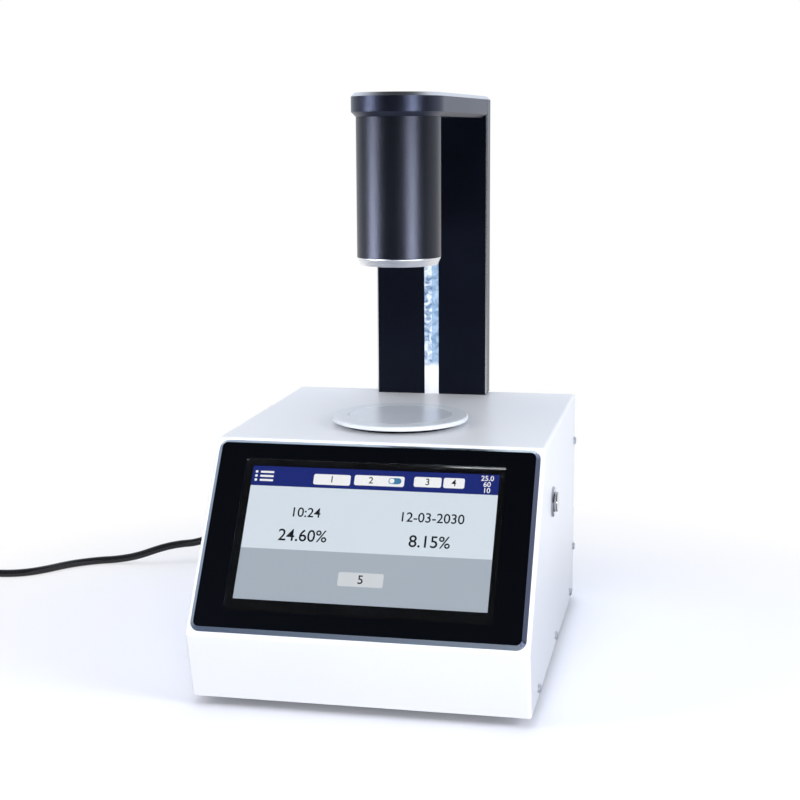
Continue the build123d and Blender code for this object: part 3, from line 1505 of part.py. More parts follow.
# Mains plug lying beside the coil: ribbed relief, swelling body and three flat blades
plug_plane = Plane(
    origin=(half_turn_ends[-1].X, coil_tail_y, plug_axis_z), x_dir=(1, 0, 0), z_dir=(0, -1, 0)
)
with BuildPart() as mains_plug:
    with BuildSketch(plug_plane):
        Circle(relief_tip_r)
    with BuildSketch(plug_plane.offset(plug_relief_len)):
        Circle(relief_r + 0.6)
    loft()
    for rib in range(4):
        with BuildSketch(plug_plane.offset(2.0 + rib * 4.5)):
            Circle(relief_r + 1.0)
            Circle(relief_tip_r - 0.8, mode=Mode.SUBTRACT)
        extrude(amount=1.8, mode=Mode.SUBTRACT)
    with BuildSketch(plug_plane.offset(plug_relief_len)):
        RectangleRounded(plug_w * 0.5, plug_t * 0.6, plug_t * 0.25)
    with BuildSketch(plug_plane.offset(plug_relief_len + plug_len * 0.6)):
        RectangleRounded(plug_w, plug_t, plug_t * 0.35)
    loft()
    with BuildSketch(plug_plane.offset(plug_relief_len + plug_len * 0.6)):
        RectangleRounded(plug_w, plug_t, plug_t * 0.35)
    extrude(amount=plug_len * 0.4)
    with BuildSketch(plug_plane.offset(plug_relief_len + plug_len)):
        with Locations((-blade_spread, blade_lift)):
            Rectangle(plug_blade_t, plug_blade_w, rotation=blade_turn)
        with Locations((blade_spread, blade_lift)):
            Rectangle(plug_blade_t, plug_blade_w, rotation=-blade_turn)
        with Locations((0, -earth_drop)):
            Rectangle(plug_blade_t, plug_blade_w)
    extrude(amount=plug_blade_len)
mains_plug.part.label = "mains_plug"
export_step(mains_plug.part, "parts/mains_plug.step")
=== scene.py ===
# %% [markdown]
# # A benchtop haze and transmittance meter
# The real object is a folded steel box with a touch screen on its slope. A black column and arm
# carry a lamp barrel over a frosted glass stage, and a mains lead leaves the rear.
# The solid model is already measured and jointed, so this lesson dresses it: it loads the solids,
# sets the camera and the soft studio light, makes the finishes out of nodes, and builds the pieces
# whose form or finish the solids don't carry. Every length is in metres.

# %% Tools and the measured frame
import bpy
import bmesh
import math
from mathutils import Matrix, Vector


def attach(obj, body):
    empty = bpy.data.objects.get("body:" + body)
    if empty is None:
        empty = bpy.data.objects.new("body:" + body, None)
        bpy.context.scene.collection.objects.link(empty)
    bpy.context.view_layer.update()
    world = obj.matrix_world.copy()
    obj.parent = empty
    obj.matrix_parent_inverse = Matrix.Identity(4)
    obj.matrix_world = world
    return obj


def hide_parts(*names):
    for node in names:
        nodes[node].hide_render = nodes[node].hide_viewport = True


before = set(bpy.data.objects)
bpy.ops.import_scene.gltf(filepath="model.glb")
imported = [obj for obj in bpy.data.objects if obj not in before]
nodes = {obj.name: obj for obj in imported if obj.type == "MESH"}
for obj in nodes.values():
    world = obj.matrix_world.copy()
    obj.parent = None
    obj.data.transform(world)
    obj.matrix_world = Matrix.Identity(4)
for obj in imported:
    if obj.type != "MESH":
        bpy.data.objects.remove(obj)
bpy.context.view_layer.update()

# %% [markdown]
# ## The camera
# A product photographer stands a little to the right of the instrument and slightly above its top.
# A camera in Blender looks down its own -Z axis with +Y up, so the pan, tilt and roll of the tripod
# become three directions, and those directions are the columns of the camera's matrix.

# %% Camera on its tripod
PAN, TILT, ROLL = math.radians(11.726), math.radians(-9.936), math.radians(-0.3586)
TRIPOD = Vector((0.19949, -0.95743, 0.34079))
ahead = Vector((-math.sin(PAN) * math.cos(TILT), math.cos(PAN) * math.cos(TILT), math.sin(TILT)))
level_right = Vector((math.cos(PAN), math.sin(PAN), 0))
level_up = level_right.cross(ahead)
right = math.cos(ROLL) * level_right + math.sin(ROLL) * level_up
up = math.cos(ROLL) * level_up - math.sin(ROLL) * level_right
camera = bpy.data.objects.new("camera", bpy.data.cameras.new("camera"))
camera.data.sensor_width = 36
camera.data.lens = 68.13
camera.data.clip_start = 0.01
camera.matrix_world = Matrix.Translation(TRIPOD) @ Matrix((right, up, -ahead)).transposed().to_4x4()
bpy.context.scene.collection.objects.link(camera)
bpy.context.scene.camera = camera
print("camera looks along", [round(x, 3) for x in ahead])

# %% [markdown]
# ## Helpers for node materials
# A material is a small graph. Writing it by hand means making nodes and joining sockets, so a few
# short helpers keep the later cells readable: they add a node with its values, start a material,
# start or place a group that several materials share, do one step of arithmetic, blend and bump.


# %% Node helpers
def add_node(tree, kind, values=None, **settings):
    """Adds a node, sets its plain settings and the values of its named or numbered inputs."""
    node = tree.nodes.new(kind)
    for name, value in settings.items():
        setattr(node, name, value)
    for name, value in (values or {}).items():
        if isinstance(value, bpy.types.NodeSocket):
            tree.links.new(value, node.inputs[name])
        else:
            node.inputs[name].default_value = value
    return node


def start_material(name, base, roughness, metallic=0.0, **sockets):
    """A material with one Principled shader; uniform values go straight onto its sockets."""
    material = bpy.data.materials.new(name)
    material.use_nodes = True
    shader = material.node_tree.nodes["Principled BSDF"]
    shader.inputs["Base Color"].default_value = (*base, 1)
    shader.inputs["Roughness"].default_value = roughness
    shader.inputs["Metallic"].default_value = metallic
    for socket, value in sockets.items():
        shader.inputs[socket.replace("_", " ")].default_value = value
    return material, material.node_tree, shader


def start_group(name, inputs, outputs):
    """A shader node group: inputs as {"Scale": 200.0}, numbers or vectors; outputs as {"Mask": "Float"}."""
    group = bpy.data.node_groups.new(name, "ShaderNodeTree")
    for socket, value in inputs.items():
        kind = "NodeSocketFloat" if isinstance(value, float) else "NodeSocketVector"
        made = group.interface.new_socket(socket, in_out="INPUT", socket_type=kind)
        made.default_value = value
    for socket, kind in outputs.items():
        group.interface.new_socket(socket, in_out="OUTPUT", socket_type="NodeSocket" + kind)
    return group, group.nodes.new("NodeGroupInput"), group.nodes.new("NodeGroupOutput")


def use_group(tree, group, **values):
    """Places a shared group in a material with its own values."""
    node = tree.nodes.new("ShaderNodeGroup")
    node.node_tree = group
    for name, value in values.items():
        node.inputs[name.replace("_", " ")].default_value = value
    return node


def math_node(tree, operation, *values, clamp=False):
    """One step of arithmetic between sockets or numbers; gives its output socket."""
    node = add_node(tree, "ShaderNodeMath", dict(enumerate(values)), operation=operation, use_clamp=clamp)
    return node.outputs[0]


def blend_colours(tree, amount, first, second):
    """Mixes two colours, each a tuple or a socket, by a mask; gives the colour socket."""
    node = add_node(tree, "ShaderNodeMix", {0: amount}, data_type="RGBA")
    for index, value in ((6, first), (7, second)):
        if isinstance(value, bpy.types.NodeSocket):
            tree.links.new(value, node.inputs[index])
        else:
            node.inputs[index].default_value = (*value, 1)
    return node.outputs[2]


def blend_values(tree, amount, first, second):
    """Mixes two numbers by a mask; gives the number socket."""
    node = add_node(tree, "ShaderNodeMix", {0: amount, 2: first, 3: second}, data_type="FLOAT")
    return node.outputs[0]


def bump(tree, shader, height, strength, distance):
    """Feeds a height into the shader's normal through a Bump node."""
    node = add_node(tree, "ShaderNodeBump", {"Strength": strength, "Distance": distance, "Height": height})
    tree.links.new(node.outputs[0], shader.inputs["Normal"])


print("helpers ready")

# %% [markdown]
# ## Effects that several finishes share
# Powder paint, blasted metal and moulded plastic all need a fine grain at their own scale. Brushed
# and turned metal need streaks, along a line or round an axis. Corners of worn or polished parts
# catch light, and flat tops gather a little dust. Each is one group, made once.

# %% Grain: small bumps and a slow change of tone
grain, entry, leave = start_group(
    "surface_grain", {"Scale": 400.0, "Patch Scale": 20.0}, {"Height": "Float", "Tone": "Float"})
place = add_node(grain, "ShaderNodeTexCoord").outputs["Object"]
fine = add_node(grain, "ShaderNodeTexNoise", {"Vector": place, "Scale": entry.outputs["Scale"], "Detail": 3.0})
patch_scale = entry.outputs["Patch Scale"]
slow = add_node(grain, "ShaderNodeTexNoise", {"Vector": place, "Scale": patch_scale, "Detail": 4.0})
grain.links.new(fine.outputs[0], leave.inputs["Height"])
grain.links.new(slow.outputs[0], leave.inputs["Tone"])
print("group", grain.name)

# %% Streaks: noise stretched along one direction
streaks, entry, leave = start_group(
    "straight_streaks", {"Stretch": (40.0, 2600.0, 2600.0)}, {"Height": "Float"})
place = add_node(streaks, "ShaderNodeTexCoord").outputs["Object"]
stretch = entry.outputs["Stretch"]
stretched = add_node(streaks, "ShaderNodeVectorMath", {0: place, 1: stretch}, operation="MULTIPLY")
lines = add_node(streaks, "ShaderNodeTexNoise", {"Vector": stretched.outputs[0], "Scale": 1.0, "Detail": 2.0})
streaks.links.new(lines.outputs[0], leave.inputs["Height"])
print("group", streaks.name)

# %% Turning marks: fine rings round the vertical optical axis
turned, entry, leave = start_group(
    "turning_marks", {"Centre": (0.0, 0.004, 0.0), "Pitch": 9000.0}, {"Height": "Float"})
place = add_node(turned, "ShaderNodeTexCoord").outputs["Object"]
offset = add_node(turned, "ShaderNodeVectorMath", {0: place, 1: entry.outputs["Centre"]}, operation="SUBTRACT")
parts = add_node(turned, "ShaderNodeSeparateXYZ", {0: offset.outputs[0]})
flat = add_node(turned, "ShaderNodeCombineXYZ", {0: parts.outputs[0], 1: parts.outputs[1]})
reach = add_node(turned, "ShaderNodeVectorMath", {0: flat.outputs[0]}, operation="LENGTH").outputs["Value"]
ring_place = math_node(turned, "ADD", reach, parts.outputs[2])
ring_line = math_node(turned, "MULTIPLY", ring_place, entry.outputs["Pitch"])
rings = add_node(
    turned, "ShaderNodeTexNoise", {"W": ring_line, "Scale": 1.0, "Detail": 2.0}, noise_dimensions="1D")
turned.links.new(rings.outputs[0], leave.inputs["Height"])
print("group", turned.name)

# %% Edge wear: where a rounded normal differs from the flat one
edge_wear, entry, leave = start_group("edge_wear", {"Radius": 0.0006, "Gain": 3.0}, {"Mask": "Float"})
rounded = add_node(edge_wear, "ShaderNodeBevel", {"Radius": entry.outputs["Radius"]}, samples=4)
plain = add_node(edge_wear, "ShaderNodeNewGeometry").outputs["Normal"]
agree = add_node(edge_wear, "ShaderNodeVectorMath", {0: rounded.outputs[0], 1: plain}, operation="DOT_PRODUCT")
differ = math_node(edge_wear, "SUBTRACT", 1.0, agree.outputs["Value"])
worn = math_node(edge_wear, "MULTIPLY", differ, entry.outputs["Gain"], clamp=True)
edge_wear.links.new(worn, leave.inputs["Mask"])
print("group", edge_wear.name)

# %% Dust: thin patches on what faces up
dust, entry, leave = start_group("settled_dust", {"Amount": 0.15}, {"Mask": "Float"})
facing = add_node(dust, "ShaderNodeSeparateXYZ", {0: add_node(dust, "ShaderNodeNewGeometry").outputs["Normal"]})
upward = math_node(dust, "MAXIMUM", facing.outputs[2], 0.0)
place = add_node(dust, "ShaderNodeTexCoord").outputs["Object"]
patches = add_node(dust, "ShaderNodeTexNoise", {"Vector": place, "Scale": 60.0, "Detail": 6.0})
patchy = math_node(dust, "MULTIPLY", upward, patches.outputs[0])
settled = math_node(dust, "MULTIPLY", patchy, entry.outputs["Amount"], clamp=True)
dust.links.new(settled, leave.inputs["Mask"])
print("group", dust.name)

# %% Facing mask: 1 where the surface's normal is near a chosen direction
facing_mask, entry, leave = start_group(
    "facing_mask", {"Direction": (0.0, 0.0, 1.0), "From": 0.5, "To": 0.9}, {"Mask": "Float"})
true_normal = add_node(facing_mask, "ShaderNodeNewGeometry").outputs["True Normal"]
chosen = entry.outputs["Direction"]
along = add_node(facing_mask, "ShaderNodeVectorMath", {0: true_normal, 1: chosen}, operation="DOT_PRODUCT")
above = math_node(facing_mask, "GREATER_THAN", along.outputs["Value"], entry.outputs["From"])
below = math_node(facing_mask, "LESS_THAN", along.outputs["Value"], entry.outputs["To"])
both = math_node(facing_mask, "MULTIPLY", above, below)
facing_mask.links.new(both, leave.inputs["Mask"])
print("group", facing_mask.name)

# %% [markdown]
# ## Finishes
# Powder paint is a soft plastic coat over steel with a faint orange peel. Anodised aluminium is a
# dark metal-like coat with a fine blasted grain; where a cutter passed after anodising, the bare
# bright metal shows, which here is on the arm's upper chamfer and on the column's edges.

# %% White powder paint
white_paint, tree, shader = start_material("white_powder_paint", (0.83, 0.84, 0.87), 0.42)
peel = use_group(tree, grain, Scale=900.0, Patch_Scale=9.0)
tint = blend_colours(tree, peel.outputs["Tone"], (0.80, 0.81, 0.855), (0.85, 0.86, 0.885))
wear = use_group(tree, edge_wear, Radius=0.0007, Gain=1.2)
film = use_group(tree, dust, Amount=0.10)
tint = blend_colours(tree, film.outputs["Mask"], tint, (0.70, 0.70, 0.69))
tree.links.new(blend_colours(tree, wear.outputs["Mask"], tint, (0.93, 0.93, 0.94)), shader.inputs["Base Color"])
tree.links.new(blend_values(tree, peel.outputs["Tone"], 0.30, 0.42), shader.inputs["Roughness"])
bump(tree, shader, peel.outputs["Height"], 0.12, 0.0003)
print("finish", white_paint.name)


# %% Black anodised metal, with or without bright cut edges
def anodised(name, base, rough, cut_masks=(), grain_scale=2200.0, bump_strength=0.25):
    """Black anodised aluminium. cut_masks lists (direction, from, to) for faces cut bright afterwards."""
    material, tree, shader = start_material(name, base, rough, 1.0)
    sand = use_group(tree, grain, Scale=grain_scale, Patch_Scale=16.0)
    darker, paler = tuple(0.85 * c for c in base), tuple(1.15 * c for c in base)
    tone = blend_colours(tree, sand.outputs["Tone"], darker, paler)
    film = use_group(tree, dust, Amount=0.06)
    tone = blend_colours(tree, film.outputs["Mask"], tone, (0.35, 0.35, 0.36))
    roughness = blend_values(tree, sand.outputs["Tone"], rough - 0.05, rough + 0.07)
    if cut_masks:
        mask = 0.0
        for direction, low, high in cut_masks:
            cut = use_group(tree, facing_mask, Direction=direction, From=low, To=high)
            mask = math_node(tree, "MAXIMUM", mask, cut.outputs["Mask"])
        tone = blend_colours(tree, mask, tone, (0.72, 0.72, 0.74))
        roughness = blend_values(tree, mask, roughness, 0.22)
    tree.links.new(tone, shader.inputs["Base Color"])
    tree.links.new(roughness, shader.inputs["Roughness"])
    bump(tree, shader, sand.outputs["Height"], bump_strength, 0.0002)
    print("finish", name)
    return material


DIAGONAL = math.sqrt(0.5)
barrel_black = anodised(
    "barrel_black_anodised", (0.048, 0.050, 0.064), 0.33, grain_scale=1500.0, bump_strength=0.5)
arm_black = anodised("arm_black_anodised", (0.056, 0.062, 0.092), 0.31, [((0, 0, 1), 0.5, 0.9)])
plate_black = anodised(
    "column_black_anodised", (0.018, 0.022, 0.036), 0.32,
    [((DIAGONAL, -DIAGONAL, 0), 0.97, 1.1), ((-DIAGONAL, -DIAGONAL, 0), 0.97, 1.1), ((0, 0, 1), 0.5, 0.9)],
    grain_scale=700.0, bump_strength=0.4)
seat_black = anodised("seat_black_anodised", (0.014, 0.014, 0.017), 0.42)


# %% [markdown]
# ## Bare metals
# The barrel's ring is turned, the screws are plated, the tray is galvanised and the button is chrome.
# One function makes them all: a metal is a tinted mirror, so its colour hardly matters and its marks
# do. They change the roughness as well as the height, which breaks up a highlight from every side.

# %% Bare metals
def bare_metal(name, base, rough, group, depth, strength, **values):
    """Turned, brushed or rolled metal: the marks change the roughness a little and bump the surface."""
    material, tree, shader = start_material(name, base, rough, 1.0)
    marks = use_group(tree, group, **values)
    tone = blend_colours(tree, marks.outputs["Height"], tuple(0.82 * c for c in base), base)
    wear = use_group(tree, edge_wear, Radius=0.0004, Gain=1.5)
    bright = tuple(min(1.0, 1.15 * c) for c in base)
    tree.links.new(blend_colours(tree, wear.outputs["Mask"], tone, bright), shader.inputs["Base Color"])
    spread = blend_values(tree, marks.outputs["Height"], max(0.03, rough - 0.08), rough + 0.10)
    tree.links.new(spread, shader.inputs["Roughness"])
    bump(tree, shader, marks.outputs["Height"], strength, depth)
    print("finish", name)
    return material


turned_aluminium = bare_metal("turned_aluminium", (0.95, 0.96, 0.98), 0.30, turned, 0.0002, 0.35)
polished_chrome = bare_metal("polished_chrome", (0.56, 0.56, 0.58), 0.10, grain, 0.0001, 0.06, Scale=600.0)
screw_steel = bare_metal("screw_steel", (0.55, 0.56, 0.58), 0.30, grain, 0.0002, 0.25, Scale=1500.0)
pale_steel = bare_metal("pale_screw_steel", (0.84, 0.85, 0.88), 0.48, grain, 0.0002, 0.15, Scale=1500.0)
zinc_steel = bare_metal("zinc_coated_steel", (0.60, 0.62, 0.64), 0.38, grain, 0.0002, 0.2, Scale=110.0)
drawn_aluminium = bare_metal(
    "drawn_aluminium", (0.76, 0.77, 0.80), 0.24, streaks, 0.0002, 0.3, Stretch=(3000.0, 3000.0, 60.0))

# %% [markdown]
# ## The bright strip
# A strip of polished metal with a V-shaped groove runs down the column. The groove's left wall,
# polished by hand, is coloured in swirls from dark blue to near white, which are painted reflection;
# its right wall gets a darker, duller colour, which is painted shade, and its foot is plain. Noise
# with distortion gives the swirls, and a mask by direction keeps the two walls apart.

# %% Strip over the column's cable channel: left wall in painted reflection swirls, right wall in painted shade, plain foot
strip_metal, tree, shader = start_material("polished_strip_painted_reflection_and_shade", (0.70, 0.75, 0.82), 0.2, 0.35)
place = add_node(tree, "ShaderNodeTexCoord").outputs["Object"]
swirl = add_node(
    tree, "ShaderNodeTexNoise", {"Vector": place, "Scale": 170.0, "Detail": 5.0, "Distortion": 1.2})
contrast = add_node(tree, "ShaderNodeMapRange", {0: swirl.outputs[0], 1: 0.36, 2: 0.62})
# swirls from dark blue to near white on the left wall: a painted reflection
painted_reflection_swirls = blend_colours(tree, contrast.outputs[0], (0.09, 0.19, 0.34), (0.80, 0.87, 0.96))
painted_shade_wall = blend_colours(tree, contrast.outputs[0], (0.14, 0.24, 0.38), (0.34, 0.46, 0.60))
# the right wall is the one that looks left; its darker colour is painted shade
shaded_wall_mask = use_group(tree, facing_mask, Direction=(-1, 0, 0), From=0.02, To=1.1)
FOOT_END, FOOT_FULL = 0.178, 0.173  # heights where the plain foot starts to show and is complete
height = add_node(tree, "ShaderNodeSeparateXYZ", {0: place})
foot = add_node(tree, "ShaderNodeMapRange", {0: height.outputs[2], 1: FOOT_END, 2: FOOT_FULL})
lit_and_shaded_walls = blend_colours(tree, shaded_wall_mask.outputs["Mask"], painted_reflection_swirls, painted_shade_wall)
tree.links.new(blend_colours(tree, foot.outputs[0], lit_and_shaded_walls, (0.86, 0.87, 0.92)), shader.inputs["Base Color"])
tree.links.new(blend_values(tree, contrast.outputs[0], 0.36, 0.28), shader.inputs["Roughness"])
above_foot = math_node(tree, "SUBTRACT", 1.0, foot.outputs[0])
bump(tree, shader, math_node(tree, "MULTIPLY", swirl.outputs[0], above_foot), 0.2, 0.0003)
print("finish", strip_metal.name)

# %% [markdown]
# ## The bezel
# The screen's frame is a black plate whose rim was milled bright. Both finishes are on one solid,
# so the material chooses by the direction of the surface: the face that looks out of the slope is
# black, and all else is cut metal, coloured dark blue on the left and pale green-white on the right
# as a painted reflection, with a lavender painted reflection on the faces that look right. A second
# material slot would also do, but the mask follows the solid by itself when its size changes.

# %% Bezel: black face inside a bright bevel
FACE_BLACK, FACE_ROUGH, RIM_ROUGH = (0.040, 0.046, 0.066), 0.34, 0.22
SLOPE_RUN, SLOPE_RISE = 0.0726, 0.1058  # how far the slope goes back and up
SLOPE_OUT = Vector((0, -SLOPE_RISE, SLOPE_RUN)).normalized()
bezel_finish, tree, shader = start_material("bezel_black_with_bright_bevel", FACE_BLACK, FACE_ROUGH, 1.0)
face = use_group(tree, facing_mask, Direction=tuple(SLOPE_OUT), From=0.985, To=1.1)
sand = use_group(tree, grain, Scale=1800.0, Patch_Scale=12.0)
cutter = use_group(tree, streaks, Stretch=(120.0, 2400.0, 2400.0))
place = add_node(tree, "ShaderNodeSeparateXYZ", {0: add_node(tree, "ShaderNodeTexCoord").outputs["Object"]})
# the rim's colour runs from dark blue on the left to pale green-white on the right: a painted reflection
sheen_ramp_left_to_right = add_node(tree, "ShaderNodeMapRange", {0: place.outputs[0], 1: -0.10, 2: 0.09})
painted_rim_sheen = blend_colours(tree, sheen_ramp_left_to_right.outputs[0], (0.16, 0.23, 0.34), (0.90, 1.0, 0.97))
painted_rim_sheen = blend_colours(tree, cutter.outputs["Height"], painted_rim_sheen, (0.50, 0.58, 0.66))
# faces that look right get a lavender painted reflection
right_face_reflection_mask = use_group(tree, facing_mask, Direction=(1, 0, 0), From=0.5, To=1.1)
painted_rim_sheen = blend_colours(tree, right_face_reflection_mask.outputs["Mask"], painted_rim_sheen, (0.34, 0.37, 0.52))
both_tones = blend_colours(tree, face.outputs["Mask"], painted_rim_sheen, FACE_BLACK)
tree.links.new(both_tones, shader.inputs["Base Color"])
tree.links.new(blend_values(tree, face.outputs["Mask"], RIM_ROUGH, FACE_ROUGH), shader.inputs["Roughness"])
bump(tree, shader, sand.outputs["Height"], 0.12, 0.0001)
print("finish", bezel_finish.name)


# %% [markdown]
# ## Plastics and rubber
# Moulded parts carry the fine texture of their mould, a little pale wear on the edges and dust on
# what faces up. The feet are rough, the lead's sheath is glossy, and the boards are lacquered.

# %% Plastics and rubber
def moulded(name, base, rough, scale, strength, dusty=0.08, **sockets):
    """Moulded plastic or rubber with a spark-eroded grain, paler on its edges and dusty on top."""
    material, tree, shader = start_material(name, base, rough, **sockets)
    skin = use_group(tree, grain, Scale=scale, Patch_Scale=25.0)
    darker, paler = tuple(0.8 * c for c in base), tuple(min(1, 1.25 * c) for c in base)
    tone = blend_colours(tree, skin.outputs["Tone"], darker, paler)
    wear = use_group(tree, edge_wear, Radius=0.0006, Gain=0.8)
    tone = blend_colours(tree, wear.outputs["Mask"], tone, tuple(min(1, 1.5 * c + 0.03) for c in base))
    film = use_group(tree, dust, Amount=dusty)
    tone = blend_colours(tree, film.outputs["Mask"], tone, (0.45, 0.45, 0.45))
    tree.links.new(tone, shader.inputs["Base Color"])
    spread = blend_values(tree, skin.outputs["Tone"], rough - 0.06, rough + 0.08)
    tree.links.new(spread, shader.inputs["Roughness"])
    bump(tree, shader, skin.outputs["Height"], strength, 0.0002)
    print("finish", name)
    return material


cord_vinyl = moulded("cord_glossy_vinyl", (0.010, 0.010, 0.011), 0.24, 300.0, 0.10, dusty=0.02, Coat_Weight=0.4)
black_plastic = moulded("black_moulded_plastic", (0.018, 0.018, 0.020), 0.42, 1400.0, 0.35)
foot_rubber = moulded("foot_rubber", (0.022, 0.022, 0.022), 0.72, 900.0, 0.5, dusty=0.25)
sphere_white = moulded("sphere_white_coating", (0.90, 0.90, 0.89), 0.85, 500.0, 0.3, dusty=0.0)
board_green = moulded("circuit_board_green", (0.012, 0.11, 0.055), 0.38, 260.0, 0.2, Coat_Weight=0.5)


# %% [markdown]
# ## Glass and the stage
# Lenses and the screen's cover are clear glass. The stage ring is frosted and its window is opal:
# light scatters inside both, so they are mostly white with a soft gloss. Full transmission would
# show the black seat through them, and a little of it is enough.

# %% Clear glass
def glass(name, base, rough):
    """Clear glass with faint smears, which change its roughness over the surface."""
    material, tree, shader = start_material(name, base, rough, Transmission_Weight=1.0, IOR=1.5)
    smear = use_group(tree, grain, Scale=90.0, Patch_Scale=14.0)
    tree.links.new(blend_values(tree, smear.outputs["Tone"], 0.0, 2.0 * rough), shader.inputs["Roughness"])
    print("finish", name)
    return material


clear_glass = glass("clear_optical_glass", (0.96, 0.98, 1.0), 0.01)
screen_cover = glass("screen_cover_glass", (0.97, 0.98, 1.0), 0.02)

# %% Frosted stage ring: light scatters inside it, so it is white, and its edges get a painted highlight
frosted_ring, tree, shader = start_material(
    "frosted_stage_ring", (0.84, 0.88, 0.92), 0.38, Transmission_Weight=0.2, IOR=1.49, Coat_Weight=0.2)
frost = use_group(tree, grain, Scale=1800.0, Patch_Scale=60.0)
# the edge mask paints a near-white highlight on the ring's edges
painted_edge_highlight = use_group(tree, edge_wear, Radius=0.0008, Gain=2.0)
milk = blend_colours(tree, frost.outputs["Tone"], (0.79, 0.83, 0.89), (0.86, 0.90, 0.95))
tree.links.new(blend_colours(tree, painted_edge_highlight.outputs["Mask"], milk, (0.98, 0.99, 1.0)), shader.inputs["Base Color"])
tree.links.new(blend_values(tree, frost.outputs["Tone"], 0.34, 0.46), shader.inputs["Roughness"])
bump(tree, shader, frost.outputs["Height"], 0.06, 0.0001)
print("finish", frosted_ring.name)

# %% Opal window in the ring: milky inside, polished on top
opal_window, tree, shader = start_material(
    "opal_stage_window", (0.74, 0.78, 0.84), 0.25, Transmission_Weight=0.15, IOR=1.6)
milkiness = use_group(tree, grain, Scale=700.0, Patch_Scale=30.0)
film = use_group(tree, dust, Amount=0.08)
milk = blend_colours(tree, milkiness.outputs["Tone"], (0.70, 0.74, 0.81), (0.78, 0.82, 0.89))
tree.links.new(blend_colours(tree, film.outputs["Mask"], milk, (0.85, 0.85, 0.84)), shader.inputs["Base Color"])
tree.links.new(blend_values(tree, milkiness.outputs["Tone"], 0.18, 0.30), shader.inputs["Roughness"])
print("finish", opal_window.name)

# %% [markdown]
# ## Dressing the solids
# Where a solid's shape is right, it only needs its finish: the object keeps its mesh, and the
# material in its slot changes. A table of node names makes it plain which piece wears what, and the
# loop stops if a piece was forgotten.

# %% Finish of every solid
FINISHES = {
    white_paint: ["cover_shell"],
    zinc_steel: ["base_tray", "rear_panel", "lcd_clamp_plate", "column_bracket", "power_supply"],
    pale_steel: ["side_screws"],
    screw_steel: ["foot_screws", "display_screws", "sphere_pillars", "sphere_screws",
                  "column_screws", "arm_screws", "inlet_screws"],
    foot_rubber: ["foot_front_left", "foot_front_right", "foot_rear_left", "foot_rear_right"],
    bezel_finish: ["bezel_plate"],
    screen_cover: ["screen_glass"],
    board_green: ["display_board", "lamp_board", "usb_board", "main_board"],
    plate_black: ["column_plate"],
    arm_black: ["head_arm"],
    barrel_black: ["light_barrel", "light_trap", "condenser_cell"],
    seat_black: ["stage_seat"],
    frosted_ring: ["stage_disc"],
    opal_window: ["port_window"],
    clear_glass: ["front_lens", "condenser_lens"],
    sphere_white: ["sphere_upper", "sphere_lower"],
    strip_metal: ["column_trim_strip"],
    turned_aluminium: ["barrel_ring", "lens_clamp_ring"],
    drawn_aluminium: ["lamp_heat_sink"],
    polished_chrome: ["power_button_body", "power_button_cap", "power_button_nut", "usb_port"],
    black_plastic: ["detector_module", "power_inlet", "power_button_contacts", "cord_connector",
                    "cord_tie", "mains_plug", "lcd_panel"],
    cord_vinyl: ["lamp_cable", "cord_lead", "cord_coil"],
}
dressed = set()
for finish, names in FINISHES.items():
    for name in names:
        mesh = nodes[name].data
        mesh.materials.clear()
        mesh.materials.append(finish)
        dressed.add(name)
assert dressed == set(nodes), dressed ^ set(nodes)
print("solids dressed:", len(dressed))

# %% [markdown]
# ## The mains lead
# A lead is a fixed length of something flexible, so it is one smooth spline: out of the connector,
# down under its own weight onto the table, away to the left, and into a neat tied coil. A NURBS
# spline of order 3 rounds every corner of its control points by itself. A half turn of the coil is
# eight control points a little outside its circle, which puts the curve on the circle.

# %% Route of the free lead
LEAD = [
    (-0.0520, 0.1878, 0.0410), (-0.0520, 0.2018, 0.0410), (-0.0581, 0.2162, 0.0406),
    (-0.0700, 0.2270, 0.0398), (-0.0869, 0.2332, 0.0383), (-0.1079, 0.2326, 0.0360),
    (-0.1310, 0.2254, 0.0330), (-0.1550, 0.2127, 0.0290), (-0.1790, 0.1973, 0.0235),
    (-0.2030, 0.1754, 0.0159), (-0.2175, 0.1693, 0.0156), (-0.2314, 0.1648, 0.0129),
    (-0.2506, 0.1608, 0.0060), (-0.2675, 0.1578, 0.0032), (-0.2814, 0.1532, 0.0030),
    (-0.2996, 0.1395, 0.0030), (-0.3141, 0.1183, 0.0030), (-0.3275, 0.1075, 0.0030),
    (-0.3440, 0.1035, 0.0030), (-0.3610, 0.1026, 0.0040), (-0.3760, 0.1026, 0.0040),
]
print("lead's control points:", len(LEAD))

# %% Turns of the coil
COIL_R, TURN_PITCH, LOW_Z, PLUG_Z = 0.039, 0.0065, 0.004, 0.013
RUN_IN, TO_PLUG = 0.006, (0.004, 0.012)  # the straight bits before the first turn and after the last
ENTRY_R = COIL_R + TURN_PITCH / 4
COIL_X = LEAD[-1][0] - RUN_IN - TURN_PITCH / 4
COIL_Y = LEAD[-1][1] - ENTRY_R
HIGH_Z = LOW_Z + TURN_PITCH
# each half turn: how many half pitches its end lies inside COIL_R, and the height it ends at
HALF_TURNS = [
    (1, LOW_Z), (2, LOW_Z), (3, LOW_Z), (4, LOW_Z),
    (5, HIGH_Z), (2, HIGH_Z), (3, HIGH_Z), (0, PLUG_Z),
]


def arc_points(start_x, end_x, side, low, high, count=8, first=0.0):
    """Control points of a half turn from start_x to end_x that bulges to the side (+1 is away)."""
    centre, radius = (start_x + end_x) / 2, abs(end_x - start_x) / 2
    reach = radius / math.cos(math.pi / 2 / count)
    heading = 1 if end_x > start_x else -1
    found = []
    for step in range(count):
        turn = math.pi * (step + 0.5) / count
        if turn >= first:
            rise = low + (high - low) * (1 - math.cos(turn)) / 2
            found.append((COIL_X + centre - heading * reach * math.cos(turn),
                          COIL_Y + side * reach * math.sin(turn), rise))
    return found


